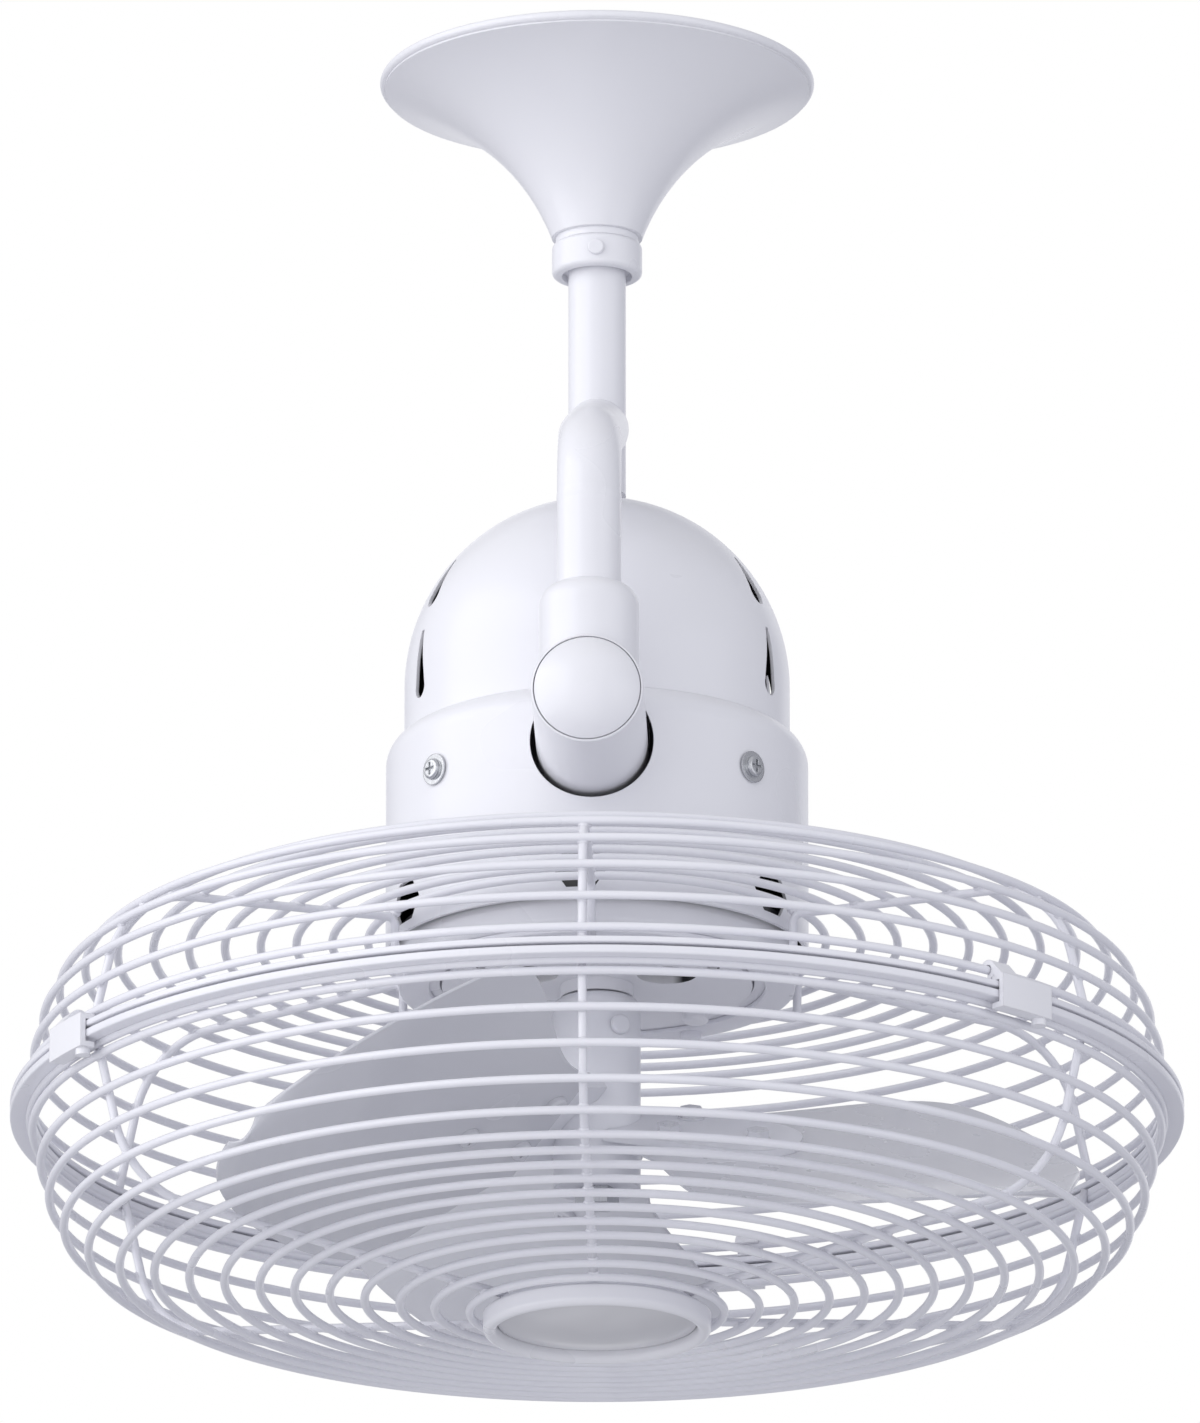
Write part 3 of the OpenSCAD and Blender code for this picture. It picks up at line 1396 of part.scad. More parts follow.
ceiling_bracket();
hanger_pin();
pin_ring();
rod_set_screw();
downrod();
offset_arm();
knuckle();
sleeve_screws();
knuckle_cap();
pivot_shaft();
shaft_nut();
swing_lever();
lever_pin();
canopy();
canopy_collar();
collar_screw();
rear_dome();
front_band();
housing_screws();
housing_pan();
motor_bracket();
pivot_block();
pivot_bushes();
block_screws();
stator();
windings();
rear_bearing();
front_bearing();
motor_shield();
motor_bolts();
motor_nuts();
gearmotor_plate();
gearmotor();
gearmotor_screws();
capacitor();
terminal_block();
rear_guard();
guard_screws();
front_guard();
badge_ring();
badge();
badge_screws();
crank();
motor_shaft();
rotor();
blade_hub();
hub_screw();
blade_1();
blade_2();
blade_3();
blade_screws();
blade_nuts();
hub_nut();
clip_1();
clip_2();
clip_3();
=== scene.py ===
"""Looks of a ceiling-hung oscillating fan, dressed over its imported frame.

Sizes of the pieces built here are in millimetres, in the frame's axes: the
origin is on the ceiling under the middle of the canopy, +Z up, -Y to the front.
"""

import logging
import math
from collections.abc import Callable
from dataclasses import dataclass, field
from enum import Enum
from typing import ClassVar

import bmesh
import bpy
from mathutils import Matrix, Vector


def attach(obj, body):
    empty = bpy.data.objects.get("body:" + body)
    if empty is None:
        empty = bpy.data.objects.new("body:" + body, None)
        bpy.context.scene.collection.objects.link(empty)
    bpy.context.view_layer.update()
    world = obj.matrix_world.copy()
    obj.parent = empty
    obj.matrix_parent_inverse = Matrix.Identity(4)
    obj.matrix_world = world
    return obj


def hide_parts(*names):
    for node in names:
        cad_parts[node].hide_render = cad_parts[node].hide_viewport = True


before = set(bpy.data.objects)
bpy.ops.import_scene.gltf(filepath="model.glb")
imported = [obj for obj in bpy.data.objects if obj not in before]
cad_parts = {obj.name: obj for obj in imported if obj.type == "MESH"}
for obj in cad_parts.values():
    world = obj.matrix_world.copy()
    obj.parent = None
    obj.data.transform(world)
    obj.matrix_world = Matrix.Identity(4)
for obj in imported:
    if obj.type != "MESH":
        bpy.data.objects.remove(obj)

LOG = logging.getLogger("fan")
MM = 0.001
FLOAT, VECTOR = "NodeSocketFloat", "NodeSocketVector"
MIX_FIRST, MIX_SECOND, MIX_RESULT = 6, 7, 2
Pair = tuple[float, float]
Triple = tuple[float, float, float]
Colour = Triple
Profile = list[Pair]
Node, Socket, Tree = bpy.types.Node, bpy.types.NodeSocket, bpy.types.NodeTree


class Slot(Enum):
    """Finishes that the pieces can wear."""

    ENAMEL = "enamel"
    # The shell and pan finishes are white enamel with near-black painted shade on hidden faces.
    SHELL_ENAMEL_AND_SHADE = "shell_enamel_and_shade"
    PAN_ENAMEL_AND_SHADE = "pan_enamel_and_shade"
    WIRE_ENAMEL = "wire_enamel"
    # The blade finish is white enamel darkened as painted shade.
    BLADE_ENAMEL_SHADED = "blade_enamel_painted_shade"
    CAST_ENAMEL = "cast_enamel"
    BADGE = "badge_lacquer"
    ZINC = "zinc_plate"
    BLACK_STEEL = "black_steel"
    BEARING_STEEL = "bearing_steel"
    ALUMINIUM = "cast_aluminium"
    BRONZE = "sintered_bronze"
    LAMINATION = "laminated_steel"
    DIE_CAST = "die_cast_cage"
    COPPER = "varnished_copper"
    BLACK_MOULDING = "black_moulding"
    NYLON = "natural_nylon"
    FLOOR = "studio_floor"


class Effect(Enum):
    """Node groups that the finishes share: name, inputs and outputs."""

    GRAIN = ("surface_grain", "Vector Scale", "Height Tint")
    EDGES = ("edge_wear", "Vector Radius", "Mask Normal")
    DUST = ("settled_dust", "Vector", "Mask")
    DRAWN = ("drawn_lines", "Vector", "Height Tint")
    # The next two groups mask where painted shade goes on hidden faces.
    INNER_SHADE = ("inner_shade", "Vector", "Mask")
    WALL_SHADE = ("wall_shade", "Vector Height", "Mask")
    LAYERS = ("stacked_layers", "Vector", "Height Tint")


class Graph:
    """Adds nodes to one node tree and links them."""

    def __init__(self, tree: Tree) -> None:
        """Keeps the node tree."""
        self.tree = tree

    def node(self, kind: str, **inputs: object) -> Node:
        """Adds one node.

        Args:
            kind: Blender's name of the node type.
            **inputs: Sockets by name, with "_" for a space, each a value or
                an output socket to link from; other names are node settings.

        Returns:
            The new node.
        """
        made = self.tree.nodes.new(kind)
        settings = {k: v for k, v in inputs.items() if k.islower()}
        for key, value in settings.items():
            setattr(made, key, value)
        for key, value in inputs.items():
            if key not in settings:
                self.feed(made.inputs[key.replace("_", " ")], value)
        return made

    def feed(self, target: Socket, value: object) -> None:
        """Links an output socket to an input, or sets the input's value.

        Args:
            target: The input.
            value: The output socket, or the value.
        """
        if isinstance(value, Socket):
            self.tree.links.new(value, target)
        else:
            target.default_value = value

    def math(self, operation: str, first: object, second: object) -> Socket:
        """Adds one operation.

        Args:
            operation: Blender's name of the operation.
            first: First value or vector.
            second: Second value or vector.

        Returns:
            The result.
        """
        vectors = operation == "DOT_PRODUCT"
        made = self.node(
            "ShaderNodeVectorMath" if vectors else "ShaderNodeMath", operation=operation)
        self.feed(made.inputs[0], first)
        self.feed(made.inputs[1], second)
        return made.outputs["Value"]

    def span(self, value: Socket, source: Pair, target: Pair = (0.0, 1.0)) -> Socket:
        """Maps a value from one range to another, clamped.

        Args:
            value: The value.
            source: Range that it comes in.
            target: Range that it goes to.

        Returns:
            The mapped value.
        """
        return self.node(
            "ShaderNodeMapRange", Value=value, From_Min=source[0], From_Max=source[1],
            To_Min=target[0], To_Max=target[1]).outputs[0]

    def blend(self, factor: Socket, first: object, second: object) -> Socket:
        """Mixes two colours.

        Args:
            factor: Share of the second colour.
            first: First colour.
            second: Second colour.

        Returns:
            The mixed colour.
        """
        made = self.node("ShaderNodeMix", data_type="RGBA")
        self.feed(made.inputs[0], factor)
        for index, colour in ((MIX_FIRST, first), (MIX_SECOND, second)):
            self.feed(made.inputs[index], colour if isinstance(colour, Socket) else (*colour, 1.0))
        return made.outputs[MIX_RESULT]

    def noise(self, vector: Socket, scale: object, detail: float) -> Socket:
        """Returns a noise value at a scale per metre."""
        return self.node(
            "ShaderNodeTexNoise", Vector=vector, Scale=scale, Detail=detail).outputs[0]

    def stretched(self, vector: Socket, factors: Triple) -> Socket:
        """Returns a vector scaled along each axis."""
        return self.node("ShaderNodeMapping", Vector=vector, Scale=factors).outputs[0]

    def part(self, vector: Socket, axis: str) -> Socket:
        """Returns one coordinate of a vector."""
        return self.node("ShaderNodeSeparateXYZ", Vector=vector).outputs[axis]


class GroupGraph(Graph):
    """The inside of a node group, between its input and its output node."""

    def __init__(self, tree: Tree) -> None:
        """Adds the input and the output node."""
        super().__init__(tree)
        self.given = tree.nodes.new("NodeGroupInput")
        self.out = tree.nodes.new("NodeGroupOutput")

    def got(self, name: str) -> Socket:
        """Returns one input of the group."""
        return self.given.outputs[name]

    def give(self, **results: Socket) -> None:
        """Feeds the outputs of the group, by name."""
        for name, result in results.items():
            self.feed(self.out.inputs[name], result)

    def outward(self) -> Socket:
        """Returns how far a face looks away from the Z axis."""
        flat = self.stretched(self.got("Vector"), (1.0, 1.0, 0.0))
        return self.math("DOT_PRODUCT", flat, self.node("ShaderNodeTexCoord").outputs["Normal"])

    def grain(self) -> None:
        """Makes two sizes of noise a height, and a broad mottle a tint."""
        place, scale = self.got("Vector"), self.got("Scale")
        fine_ratio, fine_share, broad_ratio = 4.3, 0.35, 0.06
        coarse = self.noise(place, scale, 2.0)
        fine = self.noise(place, self.math("MULTIPLY", scale, fine_ratio), 2.0)
        broad = self.noise(place, self.math("MULTIPLY", scale, broad_ratio), 1.5)
        self.give(
            Height=self.math("ADD", coarse, self.math("MULTIPLY", fine, fine_share)),
            Tint=self.span(broad, (0.25, 0.75)))

    def edges(self) -> None:
        """Masks worn outer edges, and gives the normal of softened edges."""
        bevel = self.node(
            "ShaderNodeBevel", samples=4, Radius=self.got("Radius")).outputs[0]
        facet = self.node("ShaderNodeNewGeometry").outputs["Normal"]
        turned = self.span(self.math("DOT_PRODUCT", bevel, facet), (0.995, 0.86))
        broken = self.span(self.noise(self.got("Vector"), 180.0, 5.0), (0.42, 0.66))
        self.give(Mask=self.math("MULTIPLY", turned, broken), Normal=bevel)

    def dust(self) -> None:
        """Masks the thin dust that lies on faces that look up."""
        facing = self.node("ShaderNodeNewGeometry").outputs["Normal"]
        up = self.span(self.part(facing, "Z"), (0.35, 1.0))
        patches = self.noise(self.got("Vector"), 55.0, 6.0)
        patchy = self.span(patches, (0.3, 0.75), (0.25, 1.0))
        self.give(Mask=self.math("MULTIPLY", up, patchy))

    def drawn(self) -> None:
        """Draws fine lines along one direction, as a height and a tint."""
        place, share = self.got("Vector"), 0.5
        lines = self.noise(self.stretched(place, (1.0, 1.0, 0.06)), 2600.0, 3.0)
        patches = self.noise(place, 70.0, 5.0)
        mixed = self.math(
            "ADD", self.math("MULTIPLY", lines, share), self.math("MULTIPLY", patches, share))
        self.give(Height=lines, Tint=self.span(mixed, (0.36, 0.62)))

    def inner_shade(self) -> None:
        """Masks the faces that look towards the Z axis, a shell's inside, for painted shade."""
        self.give(Mask=self.span(self.outward(), (-0.002, -0.012)))

    def wall_shade(self) -> None:
        """Masks the outward faces above a height, which another shell covers, for painted shade.
        """
        level = self.part(self.got("Vector"), "Z")
        over = self.span(self.math("SUBTRACT", level, self.got("Height")), (0.0, 0.0004))
        outer = self.span(self.outward(), (0.002, 0.012))
        self.give(Mask=self.math("MULTIPLY", over, outer))

    def layers(self) -> None:
        """Stacks thin sheets across the Z axis, as a height and a tint."""
        place = self.got("Vector")
        wave = self.node(
            "ShaderNodeTexWave", wave_type="BANDS", bands_direction="Z", wave_profile="SIN",
            Vector=place, Scale=320.0, Distortion=0.4, Detail=1.0).outputs[1]
        rust = self.noise(place, 90.0, 5.0)
        self.give(Height=wave, Tint=self.span(rust, (0.35, 0.7)))


class Effects:
    """Builds each shared node group once, and places it in the materials."""

    fills: ClassVar[dict[Effect, Callable[[GroupGraph], None]]] = {
        Effect.GRAIN: GroupGraph.grain, Effect.EDGES: GroupGraph.edges,
        Effect.DUST: GroupGraph.dust, Effect.DRAWN: GroupGraph.drawn,
        Effect.INNER_SHADE: GroupGraph.inner_shade,
        Effect.WALL_SHADE: GroupGraph.wall_shade, Effect.LAYERS: GroupGraph.layers}

    def __init__(self) -> None:
        """Starts with no groups."""
        self.groups: dict[Effect, Tree] = {}

    def group(self, effect: Effect) -> Tree:
        """Gives a node group, building it the first time.

        Args:
            effect: The group's effect.

        Returns:
            The node group.
        """
        if effect not in self.groups:
            name, inputs, outputs = effect.value
            tree = bpy.data.node_groups.new(name, "ShaderNodeTree")
            for way, labels in (("INPUT", inputs), ("OUTPUT", outputs)):
                for label in labels.split():
                    kind = VECTOR if label in ("Vector", "Normal") else FLOAT
                    tree.interface.new_socket(label, in_out=way, socket_type=kind)
            self.fills[effect](GroupGraph(tree))
            self.groups[effect] = tree
        return self.groups[effect]

    def use(self, effect: Effect, graph: Graph, **inputs: object) -> Node:
        """Adds a group to a graph, with the inputs that are given by name."""
        return graph.node("ShaderNodeGroup", node_tree=self.group(effect), **inputs)


@dataclass(frozen=True)
class Finish:
    """One surface finish.

    Attributes:
        slot: Name of the finish.
        light: Lighter base colour, linear.
        dark: Darker base colour that the lighter one is mottled with.
        worn: Colour where edges are rubbed.
        rough: Lowest and highest roughness.
        metallic: How metallic the shader is.
        coat: Weight of a clear top coat.
        grain_scale: Size of the surface grain, per metre.
        bump: Depth of the grain in millimetres.
        wear: Share of the worn colour on rubbed edges.
        dust: Share of dust on faces that look up.
        edge: Radius in millimetres over which edges look softened.
        texture: Effect that gives the grain.
    """

    slot: Slot
    light: Colour
    dark: Colour
    worn: Colour
    rough: Pair
    metallic: float = 0.0
    coat: float = 0.0
    grain_scale: float = 300.0
    bump: float = 0.02
    wear: float = 0.4
    dust: float = 0.3
    edge: float = 0.5
    texture: ClassVar[Effect] = Effect.GRAIN

    def cover(self, graph: Graph, effects: Effects, place: Socket, base: Socket) -> Socket:
        """Returns the base colour; a finish with painted shade mixes that in."""
        return base

    def build(self, effects: Effects) -> bpy.types.Material:
        """Builds the material.

        Args:
            effects: The shared node groups.

        Returns:
            The finished material.
        """
        material = bpy.data.materials.new(self.slot.value)
        material.use_nodes = True
        graph = Graph(material.node_tree)
        shader = material.node_tree.nodes["Principled BSDF"].inputs
        place = graph.node("ShaderNodeTexCoord").outputs["Object"]
        grain = effects.use(self.texture, graph, Vector=place)
        if "Scale" in grain.inputs:
            grain.inputs["Scale"].default_value = self.grain_scale
        edges = effects.use(Effect.EDGES, graph, Vector=place, Radius=self.edge * MM)
        dust = effects.use(Effect.DUST, graph, Vector=place)
        rubbed = graph.math("MULTIPLY", edges.outputs["Mask"], self.wear)
        dusty = graph.math("MULTIPLY", dust.outputs["Mask"], self.dust)
        base = graph.blend(grain.outputs["Tint"], self.light, self.dark)
        base = graph.blend(rubbed, base, self.worn)
        base = graph.blend(dusty, base, DUST_COLOUR)
        graph.feed(shader["Base Color"], self.cover(graph, effects, place, base))
        rough = graph.span(grain.outputs["Tint"], (0.0, 1.0), self.rough)
        rough = graph.math("ADD", rough, graph.math("MULTIPLY", dusty, DUST_ROUGHENS))
        rough = graph.math("ADD", rough, graph.math("MULTIPLY", rubbed, WEAR_ROUGHENS))
        graph.feed(shader["Roughness"], rough)
        shader["Metallic"].default_value = self.metallic
        shader["Coat Weight"].default_value = self.coat
        shader["Coat Roughness"].default_value = COAT_ROUGH
        bump = graph.node(
            "ShaderNodeBump", Height=grain.outputs["Height"], Distance=self.bump * MM,
            Strength=BUMP_STRENGTH, Normal=edges.outputs["Normal"])
        graph.feed(shader["Normal"], bump.outputs[0])
        return material


@dataclass(frozen=True)
class ShadedShellFinish(Finish):
    """A finish whose inner faces are painted near-black as shade."""

    def cover(self, graph: Graph, effects: Effects, place: Socket, base: Socket) -> Socket:
        """Returns the base colour with painted shade on the inner faces."""
        inside = effects.use(Effect.INNER_SHADE, graph, Vector=place)
        return graph.blend(inside.outputs["Mask"], base, PAINTED_SHADE)


@dataclass(frozen=True)
class WallShadedFinish(Finish):
    """A finish whose outer wall is painted near-black as shade where another shell covers it.

    Attributes:
        covered_above: Height in millimetres above which the wall is covered and painted as shade.
    """

    covered_above: float = -318.0

    def cover(self, graph: Graph, effects: Effects, place: Socket, base: Socket) -> Socket:
        """Returns the base colour with painted shade on the covered wall."""
        wall = effects.use(
            Effect.WALL_SHADE, graph, Vector=place, Height=self.covered_above * MM)
        return graph.blend(wall.outputs["Mask"], base, PAINTED_SHADE)


@dataclass(frozen=True)
class DrawnFinish(Finish):
    """A finish with the fine lines of turned or drawn metal."""

    texture: ClassVar[Effect] = Effect.DRAWN


@dataclass(frozen=True)
class LayeredFinish(Finish):
    """A finish of thin stacked sheets."""

    texture: ClassVar[Effect] = Effect.LAYERS


WHITE = (0.83, 0.832, 0.872)
WHITE_SHADE = (0.818, 0.82, 0.862)
WHITE_WORN = (0.62, 0.62, 0.67)
# Near-black painted shade for the shells' inner faces and the pan's covered wall.
PAINTED_SHADE = (0.022, 0.022, 0.026)
DUST_COLOUR = (0.60, 0.585, 0.56)
DUST_ROUGHENS, WEAR_ROUGHENS = 0.5, 0.15
COAT_ROUGH, BUMP_STRENGTH = 0.2, 0.6
SHEET = {
    "light": WHITE, "dark": WHITE_SHADE, "worn": WHITE_WORN, "rough": (0.26, 0.32),
    "coat": 0.2, "grain_scale": 240.0, "bump": 0.012}
FINISHES = [
    Finish(Slot.ENAMEL, **SHEET),
    # These two add near-black painted shade on hidden faces.
    ShadedShellFinish(Slot.SHELL_ENAMEL_AND_SHADE, **SHEET),
    WallShadedFinish(Slot.PAN_ENAMEL_AND_SHADE, **SHEET),
    Finish(Slot.WIRE_ENAMEL, (0.82, 0.822, 0.872), (0.79, 0.792, 0.85), WHITE_WORN,
           (0.26, 0.36), coat=0.35, grain_scale=420.0, bump=0.03, edge=0.3, dust=0.22),
    # The blades' white enamel, darkened as painted shade.
    Finish(Slot.BLADE_ENAMEL_SHADED, (0.70, 0.705, 0.75), (0.66, 0.665, 0.71), WHITE_WORN,
           (0.18, 0.28), coat=0.7, grain_scale=300.0, bump=0.015, edge=0.4, dust=0.25),
    Finish(Slot.CAST_ENAMEL, (0.81, 0.815, 0.86), (0.76, 0.765, 0.815), (0.52, 0.52, 0.57),
           (0.34, 0.48), coat=0.2, grain_scale=520.0, bump=0.07, edge=0.7, dust=0.2),
    Finish(Slot.BADGE, (0.74, 0.74, 0.765), (0.67, 0.67, 0.695), (0.45, 0.45, 0.48),
           (0.28, 0.38), metallic=0.35, coat=0.6, grain_scale=700.0, bump=0.012, dust=0.0),
    DrawnFinish(Slot.ZINC, (0.60, 0.61, 0.63), (0.47, 0.48, 0.51), (0.36, 0.36, 0.37),
                (0.26, 0.42), metallic=1.0, bump=0.01, dust=0.2),
    DrawnFinish(Slot.BLACK_STEEL, (0.035, 0.035, 0.038), (0.02, 0.02, 0.022),
                (0.16, 0.16, 0.17), (0.35, 0.5), metallic=0.8, bump=0.01, dust=0.1),
    DrawnFinish(Slot.BEARING_STEEL, (0.66, 0.67, 0.69), (0.55, 0.56, 0.58),
                (0.4, 0.4, 0.41), (0.14, 0.26), metallic=1.0, bump=0.006, dust=0.05),
    Finish(Slot.ALUMINIUM, (0.62, 0.63, 0.64), (0.50, 0.51, 0.52), (0.75, 0.75, 0.76),
           (0.42, 0.6), metallic=0.9, grain_scale=650.0, bump=0.08, dust=0.15),
    Finish(Slot.BRONZE, (0.50, 0.32, 0.14), (0.38, 0.24, 0.11), (0.62, 0.42, 0.2),
           (0.34, 0.5), metallic=0.9, grain_scale=1500.0, bump=0.03, dust=0.05),
    LayeredFinish(Slot.LAMINATION, (0.16, 0.165, 0.175), (0.11, 0.105, 0.105),
                  (0.3, 0.3, 0.31), (0.4, 0.55), metallic=0.8, bump=0.06, dust=0.1),
    Finish(Slot.DIE_CAST, (0.34, 0.35, 0.36), (0.26, 0.265, 0.28), (0.5, 0.5, 0.51),
           (0.42, 0.6), metallic=0.8, grain_scale=800.0, bump=0.05, dust=0.05),
    Finish(Slot.COPPER, (0.42, 0.16, 0.055), (0.30, 0.105, 0.04), (0.5, 0.24, 0.1),
           (0.22, 0.38), metallic=0.75, coat=0.5, grain_scale=900.0, bump=0.01, edge=0.1,
           dust=0.1),
    Finish(Slot.BLACK_MOULDING, (0.018, 0.018, 0.02), (0.012, 0.012, 0.013),
           (0.05, 0.05, 0.052), (0.38, 0.52), grain_scale=1300.0, bump=0.03, dust=0.15),
    Finish(Slot.NYLON, (0.72, 0.70, 0.63), (0.66, 0.635, 0.56), (0.6, 0.58, 0.52),
           (0.4, 0.52), grain_scale=900.0, bump=0.02, dust=0.15),
]
NODE_FINISHES: dict[Slot, str] = {
    Slot.ENAMEL: "canopy canopy_collar collar_screw downrod offset_arm knuckle knuckle_cap "
                 "motor_bolts badge_ring clip_1 clip_2 clip_3",
    # The pan, shell and blade finishes carry painted shade.
    Slot.PAN_ENAMEL_AND_SHADE: "housing_pan",
    Slot.SHELL_ENAMEL_AND_SHADE: "rear_dome front_band motor_shield",
    Slot.WIRE_ENAMEL: "rear_guard front_guard guard_screws",
    Slot.BLADE_ENAMEL_SHADED: "blade_1 blade_2 blade_3 blade_screws blade_nuts",
    Slot.CAST_ENAMEL: "blade_hub hub_screw",
    Slot.BADGE: "badge",
    Slot.ZINC: "ceiling_bracket hanger_pin pin_ring pivot_shaft shaft_nut swing_lever lever_pin "
               "motor_bracket block_screws motor_nuts gearmotor_plate gearmotor_screws "
               "badge_screws crank motor_shaft hub_nut",
    Slot.BLACK_STEEL: "rod_set_screw sleeve_screws",
    Slot.BEARING_STEEL: "rear_bearing front_bearing housing_screws",
    Slot.ALUMINIUM: "pivot_block",
    Slot.BRONZE: "pivot_bushes",
    Slot.LAMINATION: "stator",
    Slot.DIE_CAST: "rotor",
    Slot.COPPER: "windings",
    Slot.BLACK_MOULDING: "gearmotor capacitor",
    Slot.NYLON: "terminal_block",
}


class Wardrobe:
    """Builds the materials and puts them on the pieces."""

    def __init__(self, effects: Effects) -> None:
        """Builds every finish once."""
        self.materials = {finish.slot: finish.build(effects) for finish in FINISHES}

    def dress(self, piece: bpy.types.Object, slot: Slot) -> None:
        """Gives a piece one finish in all its material slots.

        Args:
            piece: The piece.
            slot: The finish.
        """
        if not piece.material_slots:
            piece.data.materials.append(self.materials[slot])
        for held in piece.material_slots:
            held.material = self.materials[slot]

    def dress_frame(self) -> None:
        """Gives each carried-over node its finish."""
        for slot, names in NODE_FINISHES.items():
            for name in names.split():
                self.dress(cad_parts[name], slot)


@dataclass
class MeshPad:
    """Collects vertices and faces, in millimetres, for one piece."""

    verts: list[Vector] = field(default_factory=list)
    faces: list[tuple[int, ...]] = field(default_factory=list)

    def grid(self, rows: list[list[Vector]], wrap_rows: bool, wrap_cols: bool) -> None:
        """Adds a grid of quads.

        Args:
            rows: Rows of equally many points.
            wrap_rows: Whether the last row joins the first.
            wrap_cols: Whether each row closes.
        """
        base, wide, tall = len(self.verts), len(rows[0]), len(rows)
        for row in rows:
            self.verts.extend(row)
        for i in range(tall if wrap_rows else tall - 1):
            for j in range(wide if wrap_cols else wide - 1):
                a, b = i * wide, (i + 1) % tall * wide
                k = (j + 1) % wide
                self.faces.append((base + a + j, base + a + k, base + b + k, base + b + j))

    def tube(self, path: list[Vector], side: Vector, radii: list[float], sides: int,
             closed: bool) -> None:
        """Adds a round tube along a flat path.

        Args:
            path: Points along the middle.
            side: Normal of the plane that the path lies in.
            radii: Radius at each point.
            sides: Number of sides round the tube.
            closed: Whether the path closes on itself.
        """
        rows = []
        count = len(path)
        turns = [math.tau * j / sides for j in range(sides)]
        for i, point in enumerate(path):
            ahead = path[(i + 1) % count] if closed else path[min(i + 1, count - 1)]
            behind = path[i - 1] if closed or i else path[0]
            out = (ahead - behind).cross(side).normalized()
            rows.append([
                point + radii[i] * (out * math.cos(a) + side * math.sin(a)) for a in turns])
        base = len(self.verts)
        self.grid(rows, closed, True)
        if not closed:
            self.faces.append(tuple(range(base + sides - 1, base - 1, -1)))
            self.faces.append(tuple(range(base + (count - 1) * sides, base + count * sides)))

    def lathe(self, profile: Profile, steps: int) -> None:
        """Turns a closed profile round the Z axis.

        Args:
            profile: Radius and height of each corner.
            steps: Number of steps round the axis.
        """
        turns = [math.tau * i / steps for i in range(steps)]
        rows = [[Vector((r * math.cos(a), r * math.sin(a), z)) for r, z in profile] for a in turns]
        self.grid(rows, True, True)

    def blob(self, centre: Vector, axes: tuple[Vector, Vector, Vector]) -> None:
        """Adds a rounded bead.

        Args:
            centre: Middle of the bead.
            axes: Its half-axes.
        """
        made = bmesh.new()
        bmesh.ops.create_icosphere(made, subdivisions=2, radius=1.0)
        base = len(self.verts)
        turn = Matrix(axes).transposed()
        self.verts.extend(centre + turn @ v.co for v in made.verts)
        self.faces.extend(tuple(base + v.index for v in f.verts) for f in made.faces)
        made.free()

    def object(self, name: str) -> bpy.types.Object:
        """Makes the object, in metres, with outward normals and smooth faces.

        Args:
            name: Name of the object.

        Returns:
            The object, in the scene.
        """
        made = bmesh.new()
        corners = [made.verts.new(v * MM) for v in self.verts]
        for face in self.faces:
            made.faces.new([corners[i] for i in face])
        bmesh.ops.recalc_face_normals(made, faces=made.faces[:])
        for face in made.faces:
            face.smooth = True
        mesh = bpy.data.meshes.new(name)
        made.to_mesh(mesh)
        made.free()
        piece = bpy.data.objects.new(name, mesh)
        bpy.context.scene.collection.objects.link(piece)
        return piece


def at_azimuth(degrees: float) -> Matrix:
    """Turns a point drawn along +X to an azimuth from the front."""
    return Matrix.Rotation(math.radians(degrees - 90.0), 4, "Z")


def rounded_box(r_in: float, r_out: float, z0: float, z1: float, corner: float) -> Profile:
    """Draws a closed rectangular profile with rounded corners.

    Args:
        r_in: Inner radius.
        r_out: Outer radius.
        z0: Lower height.
        z1: Upper height.
        corner: Radius of the corners.

    Returns:
        Radius and height of each point.
    """
    inner, outer, low, high = r_in + corner, r_out - corner, z0 + corner, z1 - corner
    points = []
    for quarter, (r, z) in enumerate(((outer, high), (inner, high), (inner, low), (outer, low))):
        for step in range(0, 120, 30):
            a = math.radians(90 * quarter + step)
            points.append((r + corner * math.cos(a), z + corner * math.sin(a)))
    return points


@dataclass
class Piece:
    """A sub-assembly that is built here over its frame nodes.

    Attributes:
        name: Name of the piece.
        nodes: Frame nodes that it stands for.
        body: Body that it rides on.
        finish: Finish that it wears.
    """

    name: str
    nodes: tuple[str, ...]
    body: str
    finish: Slot

    def draw(self, pad: MeshPad) -> None:
        """Adds the piece's mesh to the pad."""
        raise NotImplementedError

    def refine(self, piece: bpy.types.Object) -> None:
        """Adds modifiers; a piece with none needs no more than its mesh."""

    def build(self, wardrobe: Wardrobe) -> bpy.types.Object:
        """Builds and dresses the piece and ties it to its body.

        Args:
            wardrobe: The finished materials.

        Returns:
            The piece.
        """
        pad = MeshPad()
        self.draw(pad)
        piece = pad.object(self.name)
        self.refine(piece)
        wardrobe.dress(piece, self.finish)
        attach(piece, self.body)
        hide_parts(*self.nodes)
        LOG.info(
            "%s: %d faces, for %s", self.name, len(piece.data.polygons), ", ".join(self.nodes))
        return piece


